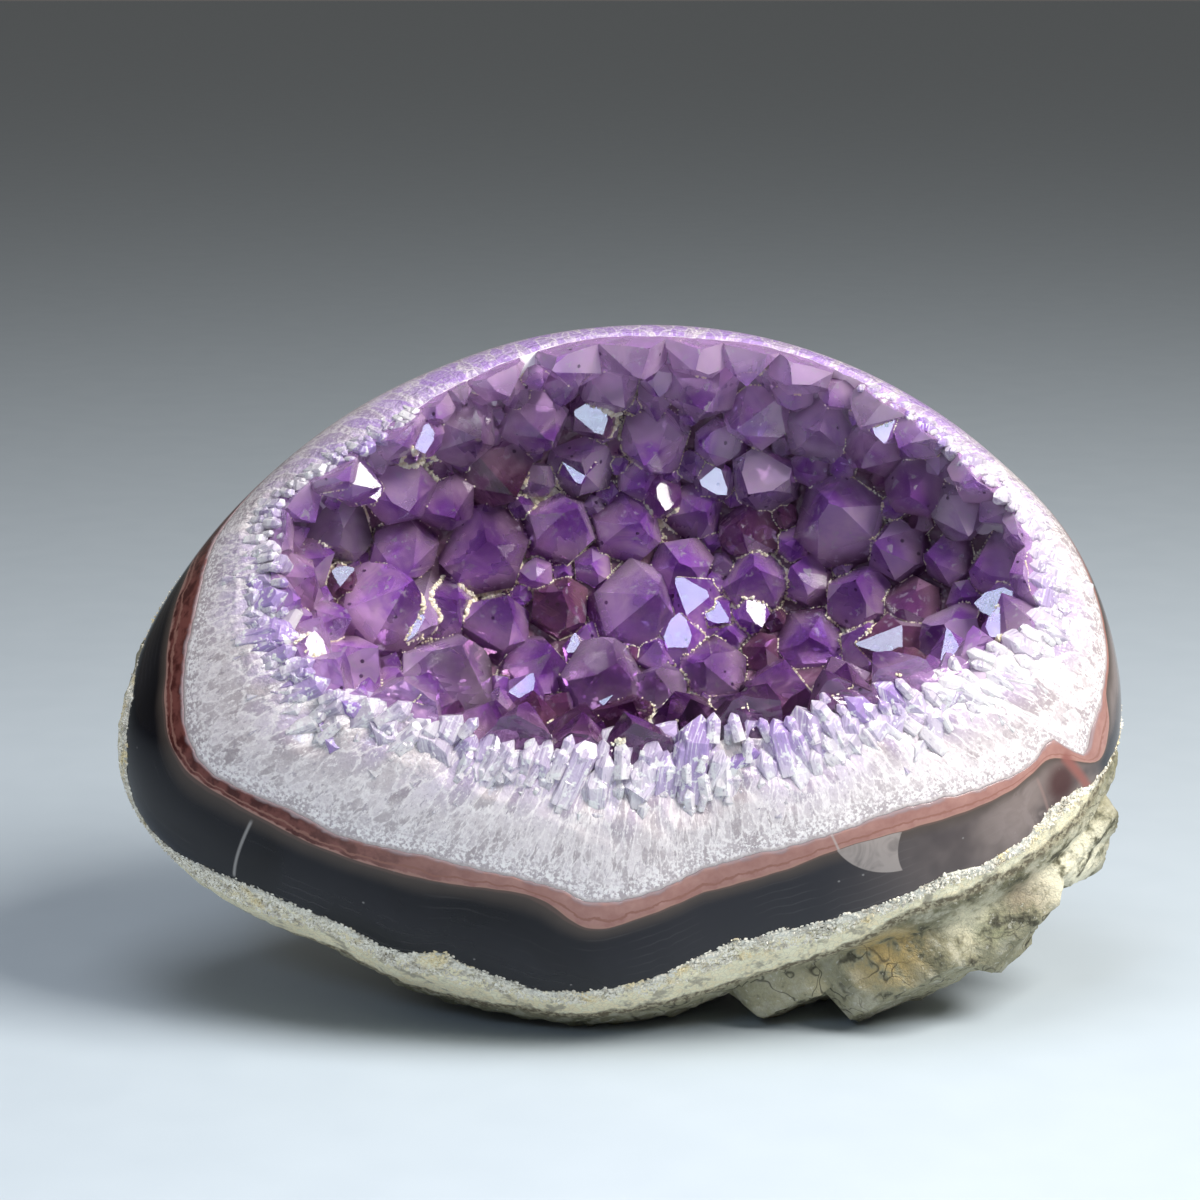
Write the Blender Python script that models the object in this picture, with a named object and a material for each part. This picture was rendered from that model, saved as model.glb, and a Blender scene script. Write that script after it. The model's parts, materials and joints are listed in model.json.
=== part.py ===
"""Amethyst cluster: a polished section of a geode, standing on its rough outer rock.

Four pieces lie one inside the other, from the outside in: the basalt rind, the agate
band, the quartz band and the crust of amethyst crystals that lines the open pocket.
The polished face is one smooth dome that cuts through all four, and its back and
underside are rough rock.

Places on the dome are given from its front pole: a compass angle around the pole and a
tilt away from it. A tilt of 90 degrees is the outline seen from the front.
"""
import math
import random

import bmesh
import bpy
import numpy as np
from mathutils import Vector, noise

MM = 0.001

# The stone's body, millimetres
FACE_RAISE = 12.0           # degrees by which the front pole looks upwards
CENTRE_HEIGHT = 67.3        # height of the dome's centre above the flat spot
CENTRE_RIGHT = -0.9         # the centre from the middle of the whole stone, sideways
CENTRE_BACK = 0.7           # and backwards
FRONT_BULGE = 52.0          # how far the polished face stands out in front of the centre
REAR_BULGE = 62.0           # the same curve carried on behind the outline
GAP = 0.3                   # clearance between neighbouring pieces
FACE_GAP = 0.5              # the same clearance measured along the slanting polished face
COLUMNS = 48                # steps around each layer
BOWL_STEPS = 5              # steps from a layer's edge to its floor
FACE_STEPS = 3              # steps across a layer's strip of the polished face
EYE_DISTANCE = 700.0        # the front views below are seen from here

# Outline of the dome seen from the front: compass angle, radius
OUTLINE = [
    (0, 100.3), (15, 95.2), (30, 86.8), (45, 79.9), (60, 74.7), (75, 71.1), (90, 69.1),
    (105, 68.9), (120, 70.3), (135, 74.0), (150, 79.5), (165, 87.4), (180, 96.6),
    (192, 101.0), (205, 94.5), (220, 82.3), (235, 75.6), (250, 72.0), (265, 70.8),
    (280, 69.3), (292, 68.5), (304, 72.5), (316, 80.5), (328, 91.0), (340, 99.5),
    (350, 101.3),
]

# Edges between the layers. The first list of each is seen from the front, millimetres
# right and up from the centre; the second runs on behind the outline, compass angle and
# tilt in degrees
ROCK_EDGE = [
    (-95, 3.5), (-99, -7), (-100.5, -14.5), (-100, -22.5), (-96.5, -30.5), (-92, -37),
    (-82, -44), (-72, -49), (-57, -55), (-43, -62), (-27, -66), (-8, -68.5), (8, -66.5),
    (27, -61), (47, -54.5), (57, -49), (67, -45), (77, -41), (87, -34.5), (93, -28.5),
    (99, -18),
]
ROCK_EDGE_BEHIND = [(0, 100), (20, 108), (45, 118), (90, 124), (135, 116), (160, 104)]
AGATE_EDGE = [
    (-96.5, -2), (-98, -16), (-95.5, -28), (-88, -36), (-76.5, -41), (-60, -48),
    (-43, -56), (-35, -56), (-26.5, -59.5), (-12, -63.5), (6, -61), (17, -56), (41, -49.5),
    (65, -40.5), (75.5, -37), (88.5, -26), (100, -14.5),
]
AGATE_EDGE_BEHIND = [(0, 94), (20, 101), (45, 110), (90, 116), (135, 108), (160, 97)]
QUARTZ_EDGE = [
    (-79, 28.5), (-83.5, 15.5), (-86.5, 0.5), (-86.5, -8.5), (-83, -17.5), (-67.5, -26),
    (-53, -32.5), (-23, -39.5), (-10.5, -43), (-5.5, -45), (8, -43), (34.5, -34),
    (58.5, -26), (83.5, -17.5), (88, -13), (93, -16.5), (95, -11), (98, 3.5),
]
QUARTZ_EDGE_BEHIND = [(20, 84), (45, 94), (90, 101), (135, 92), (150, 84)]
POCKET_EDGE = [
    (87, 10.5), (87, 22.5), (83, 32.5), (75, 40.5), (63, 50.5), (47, 60), (31, 65.5),
    (15, 67.5), (-3, 67.5), (-23, 62.5), (-43, 52.5), (-57, 43.5), (-69, 35.5),
    (-71, 22.5), (-71, 10.5), (-66, 1.5), (-59, -5.5), (-49, -8), (-39, -11), (-27, -14.5),
    (-11, -16), (5, -18), (21, -13.5), (35, -12.5), (47, -7.5), (63, -3.5), (75, 2.5),
]
POCKET_MIDDLE = (6.0, 20.0)     # tilts right and up that every edge runs around

# Floor of each layer's outer side, millimetres right, up and forward of the centre
ROCK_FLOOR = (0.0, 0.0, -48.0)
AGATE_FLOOR = (0.0, 0.0, -41.0)
QUARTZ_FLOOR = (2.0, 3.0, -28.0)
POCKET_FLOOR = (7.0, 4.0, -9.0)
POCKET_RAISE = 22.0         # degrees by which the pocket opens above the front pole
BACK_FULLNESS = 0.80        # 1 is a square-cornered bowl, 0.5 a straight-sided cone
BACK_FULLNESS_SWING = 0.22  # fuller below, leaner above
POCKET_FULLNESS = 0.86

# Rough rock
ROCK_START = 95.0           # tilt at which the rough back leaves the dome's curve
ROCK_TURN = 4.0             # degrees of tilt at least between the rock's edge and that place
ROCK_EDGE_SHARES = (1 / 3, 2 / 3, 1.0)      # rings between the two
SWELLS = (26.0, 1.76)       # broad swells of the rough rock: their length and height
RIDGES = (9.0, 0.99)        # shorter ridges and pits on them
RIDGE_SHIFT = (5.0, 1.0, 2.0)
LEDGES = [
    # compass angle, block's middle outside the outline and forward of the centre, and its
    # half sizes along, out and forward
    (303, -1.6, 1, (15, 6, 14)),
    (316, -1.2, 5, (17, 6.5, 14)),
    (330, -3.6, 5, (16, 6, 12)),
    (340, -4.0, 1, (12, 5.5, 11)),
    (315, -5.0, -13, (18, 6.5, 14)),
    (330, -7.0, -12, (18, 7, 13)),
]
LEDGE_FACES = 18
LEDGE_SQUARENESS = 0.45     # 0 is an egg, 1 a brick
LEDGE_TILT = 0.12           # unevenness of the ledges' broken sides
LEDGE_SETBACK = (0.78, 0.98)
LEDGE_SEED = 7
GROUND_CUTTER = (0.3, 0.3, 0.05)            # metres, larger than the stone on every side
GOLDEN_TURN = math.pi * (3.0 - math.sqrt(5.0))

# Crystals
CRUST = 4.0                 # thickness of solid crystal under the points
RIM_CRUST = 1.6             # the same at the pocket's rim, along the face
MM_PER_DEGREE = 1.35        # of reach, along the face at the pocket's rim
LINING_BACK = 1.0           # the crust runs this far into the quartz before it is trimmed
PROUD = 2.0                 # and stands this far over the face before it is ground flush
ROOT = 4.0                  # depth to which each crystal reaches into that crust
CAP_STEPS = 7               # steps across the pocket's opening where the dome cuts it
POINT_SLOPE = 38.2          # degrees between a point's faces and its axis
RISE = (0.62, 0.82)         # height of a point over the crust for its width
SIDE_SPREAD = (0.88, 1.08)  # unevenness of a crystal's six sides
TIP_SPREAD = 0.045          # and of its six point faces
LEAN_SPREAD = 0.13          # unevenness of the crystals' directions
MAIN_LEAN = 0.3             # the main crystals lean so much towards the opening
FILL_LEAN = 0.15
MAIN_REACH = 0.72           # height of a main crystal's tip for its width, when it is placed
SPOT_BEARINGS = 120         # places where a crystal may stand: around the pocket
SPOT_DEPTHS = (0.03, 0.985, 34)             # and from the rim (0) to the floor (1)
CRYSTAL_SEED = 21
MAIN_CRYSTALS = [
    # tip seen from the front, right and up, and the crystal's width
    (-65, 30, 14), (-24, 25, 18), (-10, 29, 15), (4, 16, 17), (-5, 40, 13),
    (18, 52, 15), (43, 30, 18), (50, 50, 12), (15, 64, 12), (71, 38, 12),
    (64, 23, 11), (-3, -10, 14), (31, 2, 13), (-43, 18, 18), (-57, 10, 14),
    (-31, 6, 19), (-3, 4, 16), (17, -6, 16), (47, 16, 13), (15, -20, 13),
    (-61, -4, 11), (47, -6, 14), (63, 0, 12), (-45, 50, 12), (-27, 46, 14),
    (-22, 60, 11), (36, 60, 12), (60, 48, 12), (76, 14, 13), (78, 28, 11),
    (-68, 18, 11), (-40, 34, 13), (29, 38, 13), (-18, -10, 12), (30, -11, 12),
    (-58, 22, 11), (0, 54, 12), (-12, 14, 12), (28, 20, 13), (58, 34, 12),
    (-48, -5, 11), (-34, -9, 10), (16, 32, 12), (-56, 38, 11), (70, 10, 11),
]
FILL_WIDTHS = (8.5, 13.5)
FILL_MINIMUM = 3.4          # room between neighbours that still takes a crystal
FILL_CROWDING = 2.6         # a filling crystal's width over the room it finds
LEVEL_FACETS = 4.0          # degrees within which neighbouring facets are made one
LEVEL_ROCK = 0.05           # the same for the rough rock


def unit(vector):
    return vector / np.linalg.norm(vector)


def raised(degrees):
    """Forward direction raised by so many degrees."""
    tilt = math.radians(degrees)
    return np.array([0.0, -math.cos(tilt), math.sin(tilt)])


RIGHT = np.array([1.0, 0.0, 0.0])
FORWARD = raised(FACE_RAISE)
UP = np.cross(FORWARD, RIGHT)
CENTRE = np.array([CENTRE_RIGHT, CENTRE_BACK, CENTRE_HEIGHT])
POCKET_AXIS = raised(FACE_RAISE + POCKET_RAISE)


def place(right, up, forward):
    """Point from its offsets to the dome's centre."""
    return CENTRE + right * RIGHT + up * UP + forward * FORWARD


def around(pairs, angle):
    """Smooth closed curve through (angle, value) pairs."""
    angle %= 360.0
    first = sum(1 for known, _ in pairs if known <= angle) - 1
    corners = []
    for k in (first - 1, first, first + 1, first + 2):
        known, value = pairs[k % len(pairs)]
        corners.append((known + 360.0 * (k // len(pairs)), value))
    (a0, v0), (a1, v1), (a2, v2), (a3, v3) = corners
    span = a2 - a1
    s = (angle - a1) / span
    slope1 = (v2 - v0) / (a2 - a0) * span
    slope2 = (v3 - v1) / (a3 - a1) * span
    start = (2 * s**3 - 3 * s**2 + 1) * v1 + (s**3 - 2 * s**2 + s) * slope1
    return start + (3 * s**2 - 2 * s**3) * v2 + (s**3 - s**2) * slope2


def on_dome(angle, tilt, lift=0.0):
    """Point on the dome at a compass angle and a tilt from the front pole."""
    a = math.radians(angle)
    t = math.radians(tilt)
    reach = (around(OUTLINE, angle) + lift) * math.sin(t)
    bulge = (FRONT_BULGE if tilt < 90.0 else REAR_BULGE) + lift
    return place(reach * math.cos(a), reach * math.sin(a), bulge * math.cos(t))


def seen_on_dome(right, up):
    """Compass angle and tilt of the dome's point that is seen at a place."""
    forward = 0.0
    for _ in range(60):
        nearer = 1.0 - forward / EYE_DISTANCE
        angle = math.degrees(math.atan2(up, right)) % 360.0
        share = min(math.hypot(right, up) * nearer / around(OUTLINE, angle), 1.0)
        tilt = math.asin(share)
        forward = 0.5 * (forward + FRONT_BULGE * math.cos(tilt))
    return angle, math.degrees(tilt)


def edge_about_pocket(seen, behind=()):
    """(bearing, reach) pairs in degrees about the pocket's middle, in order."""
    pairs = []
    for angle, tilt in [seen_on_dome(*point) for point in seen] + list(behind):
        a = math.radians(angle)
        across = tilt * math.cos(a) - POCKET_MIDDLE[0]
        along = tilt * math.sin(a) - POCKET_MIDDLE[1]
        bearing = math.degrees(math.atan2(along, across)) % 360.0
        pairs.append((bearing, math.hypot(across, along)))
    return sorted(pairs)


def pole_angles(bearing, reach):
    """Compass angle and tilt of a place given about the pocket's middle."""
    b = math.radians(bearing)
    across = POCKET_MIDDLE[0] + reach * math.cos(b)
    along = POCKET_MIDDLE[1] + reach * math.sin(b)
    return math.degrees(math.atan2(along, across)), math.hypot(across, along)


def on_face(bearing, reach, lift=0.0):
    """Point on the polished face given about the pocket's middle."""
    angle, tilt = pole_angles(bearing, reach)
    return on_dome(angle, tilt, lift)


BEARINGS = [360.0 * k / COLUMNS for k in range(COLUMNS)]


def reaches(pairs, inset=0.0):
    """Reach of a layer's edge at every column, drawn in by a clearance in millimetres."""
    found = []
    for bearing in BEARINGS:
        reach = around(pairs, bearing)
        step = np.linalg.norm(on_face(bearing, reach) - on_face(bearing, reach - 1.0))
        found.append(reach - inset / step)
    return found


def back_fullness(bearing, reach):
    """Fullness of the rock's and the agate's back, which changes from below to above."""
    angle, _ = pole_angles(bearing, reach)
    return BACK_FULLNESS - BACK_FULLNESS_SWING * math.sin(math.radians(angle))


def pocket_fullness(bearing, reach):
    """The pocket is equally full on every side."""
    return POCKET_FULLNESS


def bowl_point(rim, floor, axis, fullness, q):
    """Point of a bowl's wall: q runs from 0 at the rim to 1 at the floor."""
    out = rim - floor
    corner = floor + fullness * (out - axis * np.dot(out, axis))
    return (1 - q)**2 * rim + 2 * q * (1 - q) * corner + q**2 * floor


def bowl(rim, floor, axis, fullness):
    """Rings between a rim and its floor point."""
    rings = []
    for k in range(1, BOWL_STEPS):
        q = k / BOWL_STEPS
        rings.append([bowl_point(p, floor, axis, f, q) for p, f in zip(rim, fullness)])
    return rings


class Layer:
    """One surface between two layers: its edge on the face and the bowl behind it."""

    def __init__(self, pairs, floor, axis, fullness, face_inset=0.0, sink=0.0):
        self.reach = reaches(pairs, face_inset)
        self.rim = [on_face(b, r) for b, r in zip(BEARINGS, self.reach)]
        self.floor = place(*floor) + sink * axis
        self.axis = axis
        self.fullness = [fullness(b, r) for b, r in zip(BEARINGS, self.reach)]
        self.rings = bowl(self.rim, self.floor, axis, self.fullness)


def face_rings(outer, inner):
    """Rings on the dome between two edges."""
    rings = []
    for k in range(1, FACE_STEPS):
        s = k / FACE_STEPS
        ring = []
        for bearing, far, near in zip(BEARINGS, outer, inner):
            ring.append(on_face(bearing, (1 - s) * far + s * near))
        rings.append(ring)
    return rings


def finish(name, work):
    """Mesh object from a bmesh, faces outward, at the origin."""
    bmesh.ops.recalc_face_normals(work, faces=work.faces[:])
    mesh = bpy.data.meshes.new(name)
    work.to_mesh(mesh)
    work.free()
    thing = bpy.data.objects.new(name, mesh)
    bpy.context.scene.collection.objects.link(thing)
    return thing


def closed_loft(name, first, rings, last, lining=0):
    """Solid from a pole point, rings of columns and a second pole point.

    The first rings, so many as lining says, are a hollow's wall, and are split into
    triangles the same way as the neighbour that lies against them.
    """
    work = bmesh.new()
    start = work.verts.new(first * MM)
    end = work.verts.new(last * MM)
    rows = [[work.verts.new(p * MM) for p in ring] for ring in rings]
    for j in range(COLUMNS):
        n = (j + 1) % COLUMNS
        work.faces.new((start, rows[0][j], rows[0][n]))
        for k, (upper, lower) in enumerate(zip(rows, rows[1:])):
            if k + 1 < lining:
                work.faces.new((upper[j], lower[j], upper[n]))
                work.faces.new((lower[j], lower[n], upper[n]))
            else:
                work.faces.new((upper[j], lower[j], lower[n]))
                work.faces.new((upper[j], lower[n], upper[n]))
        work.faces.new((rows[-1][j], end, rows[-1][n]))
    return finish(name, work)


def convex_solid(work, planes):
    """Add the convex solid inside the planes (outward normal, distance) to a bmesh."""
    normals = np.array([n for n, _ in planes])
    offsets = np.array([d for _, d in planes])
    corners = []
    on_planes = []
    for i in range(len(planes)):
        for j in range(i + 1, len(planes)):
            for k in range(j + 1, len(planes)):
                rows = normals[[i, j, k]]
                if abs(np.linalg.det(rows)) < 1e-6:
                    continue
                point = np.linalg.solve(rows, offsets[[i, j, k]])
                if np.all(normals @ point <= offsets + 1e-9):
                    if not any(np.linalg.norm(point - c) < 1e-6 for c in corners):
                        corners.append(point)
    corners = np.array(corners)
    verts = [work.verts.new(c * MM) for c in corners]
    for normal, offset in zip(normals, offsets):
        members = [k for k in range(len(corners)) if abs(normal @ corners[k] - offset) < 1e-6]
        if len(members) < 3:
            continue
        middle = corners[members].mean(axis=0)
        side = unit(corners[members[0]] - middle)
        turn = np.cross(normal, side)
        members.sort(key=lambda k: math.atan2((corners[k] - middle) @ turn,
                                              (corners[k] - middle) @ side))
        work.faces.new([verts[k] for k in members])


def crystal(work, tip, axis, width, length, spin, chance):
    """Add a six-sided crystal with a six-faced point to a bmesh, its root behind its tip."""
    side = unit(np.cross(axis, np.array([0.3, 0.5, 0.81])))
    other = np.cross(axis, side)
    slope = math.radians(POINT_SLOPE)
    planes = [(-axis, length - axis @ tip)]
    for k in range(6):
        turn = spin + k * math.pi / 3
        outward = math.cos(turn) * side + math.sin(turn) * other
        half = 0.5 * width * chance.uniform(*SIDE_SPREAD)
        planes.append((outward, half + outward @ tip))
        slant = math.cos(slope) * outward + math.sin(slope) * axis
        setback = width * (0.0 if k % 2 else chance.uniform(0.0, TIP_SPREAD))
        planes.append((slant, setback + slant @ tip))
    convex_solid(work, planes)


def boolean(target, tool, operation, self_joined=False):
    """Cut or join with a tool object, which is then removed."""
    change = target.modifiers.new(operation.lower(), "BOOLEAN")
    change.operation = operation
    change.solver = "EXACT"
    change.object = tool
    change.use_self = self_joined
    graph = bpy.context.evaluated_depsgraph_get()
    mesh = bpy.data.meshes.new_from_object(target.evaluated_get(graph))
    target.modifiers.clear()
    target.data = mesh
    bpy.data.objects.remove(tool)


def keep_largest(thing, level_facets):
    """Drop chips cut loose from a solid, fill sealed hollows and level its facets."""
    work = bmesh.new()
    work.from_mesh(thing.data)
    left = set(work.verts)
    parts = []
    while left:
        found = {left.pop()}
        fresh = set(found)
        while fresh:
            fresh = {e.other_vert(v) for v in fresh for e in v.link_edges} - found
            found |= fresh
        left -= found
        parts.append(found)
    largest = max(parts, key=len)
    bmesh.ops.delete(work, geom=[v for v in work.verts if v not in largest], context="VERTS")
    bmesh.ops.dissolve_limit(
        work,
        angle_limit=math.radians(level_facets),
        verts=work.verts[:],
        edges=work.edges[:],
    )
    work.to_mesh(thing.data)
    work.free()


def coloured(thing, colour, roughness):
    """Give an object its own plain material."""
    material = bpy.data.materials.new(thing.name)
    material.use_nodes = True
    shader = material.node_tree.nodes["Principled BSDF"]
    shader.inputs["Base Color"].default_value = (*colour, 1.0)
    shader.inputs["Roughness"].default_value = roughness
    shader.inputs["Metallic"].default_value = 0.0
    thing.data.materials.clear()
    thing.data.materials.append(material)


for leftover in list(bpy.data.objects):
    bpy.data.objects.remove(leftover)

rock_pairs = edge_about_pocket(ROCK_EDGE, ROCK_EDGE_BEHIND)
agate_pairs = edge_about_pocket(AGATE_EDGE, AGATE_EDGE_BEHIND)
quartz_pairs = edge_about_pocket(QUARTZ_EDGE, QUARTZ_EDGE_BEHIND)
pocket_pairs = edge_about_pocket(POCKET_EDGE)

# Basalt rind: a bowl of rough rock whose front edge is polished with the agate
rind_inside = Layer(agate_pairs, AGATE_FLOOR, FORWARD, back_fullness)
rock_reach = reaches(rock_pairs)
rock_edge = [on_face(b, r) for b, r in zip(BEARINGS, rock_reach)]
back_floor = place(*ROCK_FLOOR)


def rough(point):
    """Push a point of the rough rock in or out along its direction from the centre."""
    swell = SWELLS[1] * noise.noise(Vector(point / SWELLS[0]))
    ridge = RIDGES[1] * noise.noise(Vector(point / RIDGES[0]) + Vector(RIDGE_SHIFT))
    return point + unit(point - CENTRE) * (swell + ridge)


rock_rings = []
start_tilts = []
for bearing, reach in zip(BEARINGS, rock_reach):
    _, tilt = pole_angles(bearing, reach)
    start_tilts.append(max(ROCK_START, tilt + ROCK_TURN))
for share in ROCK_EDGE_SHARES:
    ring = []
    for bearing, reach, last in zip(BEARINGS, rock_reach, start_tilts):
        angle, tilt = pole_angles(bearing, reach)
        ring.append(rough(on_dome(angle, (1 - share) * tilt + share * last)))
    rock_rings.append(ring)
back_full = [back_fullness(b, r) for b, r in zip(BEARINGS, rock_reach)]
for ring in bowl(rock_rings[-1], back_floor, FORWARD, back_full):
    rock_rings.append([rough(p) for p in ring])
polished_rock = face_rings(rind_inside.reach, rock_reach)[1]
rind = closed_loft(
    "basalt_rind",
    rind_inside.floor,
    rind_inside.rings[::-1] + [rind_inside.rim, polished_rock, rock_edge] + rock_rings,
    rough(back_floor),
    lining=BOWL_STEPS,
)

# Ledges of basalt left standing at the lower right
chance = random.Random(LEDGE_SEED)
for angle, outside, ahead, sizes in LEDGES:
    a = math.radians(angle)
    out = math.cos(a) * RIGHT + math.sin(a) * UP
    along = -math.sin(a) * RIGHT + math.cos(a) * UP
    middle = CENTRE + (around(OUTLINE, angle) + outside) * out + ahead * FORWARD
    work = bmesh.new()
    planes = []
    for k in range(LEDGE_FACES):
        height = 1.0 - (2 * k + 1) / LEDGE_FACES
        turn = GOLDEN_TURN * k
        level = math.sqrt(1.0 - height**2)
        spread = np.array([level * math.cos(turn), level * math.sin(turn), height])
        facing = unit(spread + np.array([chance.gauss(0, LEDGE_TILT) for _ in range(3)]))
        normal = facing[0] * along + facing[1] * out + facing[2] * FORWARD
        egg = np.linalg.norm(facing * np.array(sizes))
        brick = np.abs(facing * np.array(sizes)).sum()
        extent = (1 - LEDGE_SQUARENESS) * egg + LEDGE_SQUARENESS * brick
        extent *= chance.uniform(*LEDGE_SETBACK)
        planes.append((normal, extent + normal @ middle))
    convex_solid(work, planes)
    boolean(rind, finish("ledge", work), "UNION")

# Flat spot that the stone rests on
work = bmesh.new()
bmesh.ops.create_cube(work, size=1.0)
for vert in work.verts:
    across, along, down = GROUND_CUTTER
    vert.co = Vector((vert.co.x * across, vert.co.y * along, (vert.co.z - 0.5) * down))
boolean(rind, finish("below_ground", work), "DIFFERENCE")
keep_largest(rind, LEVEL_ROCK)
coloured(rind, (0.33, 0.31, 0.24), 0.9)

# Agate band: dark banded chalcedony, polished at the front
agate_outside = Layer(agate_pairs, AGATE_FLOOR, FORWARD, back_fullness, FACE_GAP, GAP)
agate_inside = Layer(quartz_pairs, QUARTZ_FLOOR, FORWARD, back_fullness)
agate = closed_loft(
    "agate_band",
    agate_inside.floor,
    agate_inside.rings[::-1] + [agate_inside.rim]
    + face_rings(agate_inside.reach, agate_outside.reach)
    + [agate_outside.rim] + agate_outside.rings,
    agate_outside.floor,
    lining=BOWL_STEPS,
)
coloured(agate, (0.05, 0.05, 0.075), 0.12)

# Quartz band: white crystalline quartz between the agate and the amethyst
quartz_outside = Layer(quartz_pairs, QUARTZ_FLOOR, FORWARD, back_fullness, FACE_GAP, GAP)
quartz_inside = Layer(pocket_pairs, POCKET_FLOOR, POCKET_AXIS, pocket_fullness)
quartz = closed_loft(
    "quartz_band",
    quartz_inside.floor,
    quartz_inside.rings[::-1] + [quartz_inside.rim]
    + face_rings(quartz_inside.reach, quartz_outside.reach)
    + [quartz_outside.rim] + quartz_outside.rings,
    quartz_outside.floor,
    lining=BOWL_STEPS,
)
coloured(quartz, (0.78, 0.74, 0.80), 0.2)

# Amethyst crust: a lining of solid crystal with its points, ground off flush with the dome
pocket = (pocket_pairs, POCKET_FLOOR, POCKET_AXIS, pocket_fullness)
lining_back = Layer(*pocket, -LINING_BACK, -LINING_BACK)
lining_front = Layer(*pocket, RIM_CRUST, CRUST)
proud_back = [on_face(b, r, PROUD) for b, r in zip(BEARINGS, lining_back.reach)]
proud_front = [on_face(b, r, PROUD) for b, r in zip(BEARINGS, lining_front.reach)]
amethyst = closed_loft(
    "amethyst_crystals",
    lining_front.floor,
    lining_front.rings[::-1] + [lining_front.rim, proud_front, proud_back, lining_back.rim]
    + lining_back.rings,
    lining_back.floor,
)


def wall(bearing, q):
    """Point on the lining's front and its direction into the pocket."""
    def at(b, s):
        rim = on_face(b, around(pocket_pairs, b) - RIM_CRUST / MM_PER_DEGREE)
        return bowl_point(rim, lining_front.floor, POCKET_AXIS, POCKET_FULLNESS, s)
    here = at(bearing, q)
    along = at(bearing + 1.0, q) - at(bearing - 1.0, q)
    down = at(bearing, min(q + 0.01, 1.0)) - at(bearing, q - 0.01)
    inward = unit(np.cross(along, down))
    return here, inward


def seen(point):
    """Where a point is seen from the front, millimetres right and up."""
    out = point - CENTRE
    nearer = EYE_DISTANCE / (EYE_DISTANCE - out @ FORWARD)
    return np.array([out @ RIGHT, out @ UP]) * nearer


spots = []
for k in range(SPOT_BEARINGS):
    for q in np.linspace(*SPOT_DEPTHS):
        spots.append(wall(360.0 * k / SPOT_BEARINGS, q))
roots = []
points = bmesh.new()


def grow(root, inward, width, lean):
    """Set one crystal on the lining."""
    astray = np.array([chance.gauss(0, LEAN_SPREAD) for _ in range(3)])
    axis = unit(inward + lean * POCKET_AXIS + astray)
    rise = width * chance.uniform(*RISE)
    spin = chance.uniform(0, math.pi / 3)
    crystal(points, root + rise * axis, axis, width, rise + ROOT, spin, chance)
    roots.append((root, width))


chance = random.Random(CRYSTAL_SEED)
for right, up, width in MAIN_CRYSTALS:
    target = np.array([right, up])
    misses = []
    for root, inward in spots:
        tip = root + MAIN_REACH * width * unit(inward + MAIN_LEAN * POCKET_AXIS)
        misses.append(np.linalg.norm(seen(tip) - target))
    grow(*spots[int(np.argmin(misses))], width, MAIN_LEAN)
places = np.array([p for p, _ in spots])
room = np.full(len(spots), np.inf)
for root, width in roots:
    room = np.minimum(room, np.linalg.norm(places - root, axis=1) - 0.5 * width)
while room.max() > FILL_MINIMUM:
    roomiest = int(np.argmax(room))
    width = min(max(FILL_CROWDING * room[roomiest], FILL_WIDTHS[0]), FILL_WIDTHS[1])
    grow(*spots[roomiest], width, FILL_LEAN)
    root, width = roots[-1]
    room = np.minimum(room, np.linalg.norm(places - root, axis=1) - 0.5 * width)

pocket_back = Layer(*pocket, FACE_GAP, GAP)
pocket_cap = []
for k in range(1, CAP_STEPS):
    share = k / CAP_STEPS
    pocket_cap.append([on_face(b, r * share) for b, r in zip(BEARINGS, pocket_back.reach)])
pocket_space = closed_loft(
    "pocket_space",
    on_face(0.0, 0.0),
    pocket_cap + [pocket_back.rim] + pocket_back.rings,
    pocket_back.floor,
)
boolean(amethyst, finish("points", points), "UNION", self_joined=True)
boolean(amethyst, pocket_space, "INTERSECT")
keep_largest(amethyst, LEVEL_FACETS)
coloured(amethyst, (0.22, 0.08, 0.42), 0.08)
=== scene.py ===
"""Amethyst cluster in its polished geode section: the looks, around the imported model.

The stone grew from the outside in, and the sections below follow it: the basalt rind and
its druse, the agate, the white quartz, the amethyst crystals, and the clay that washed in
between them. The table top, the lights and the camera come last.
"""
import json
import math
import random

import bmesh
import bpy
import numpy as np
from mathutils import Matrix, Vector, noise
from mathutils.kdtree import KDTree

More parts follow.
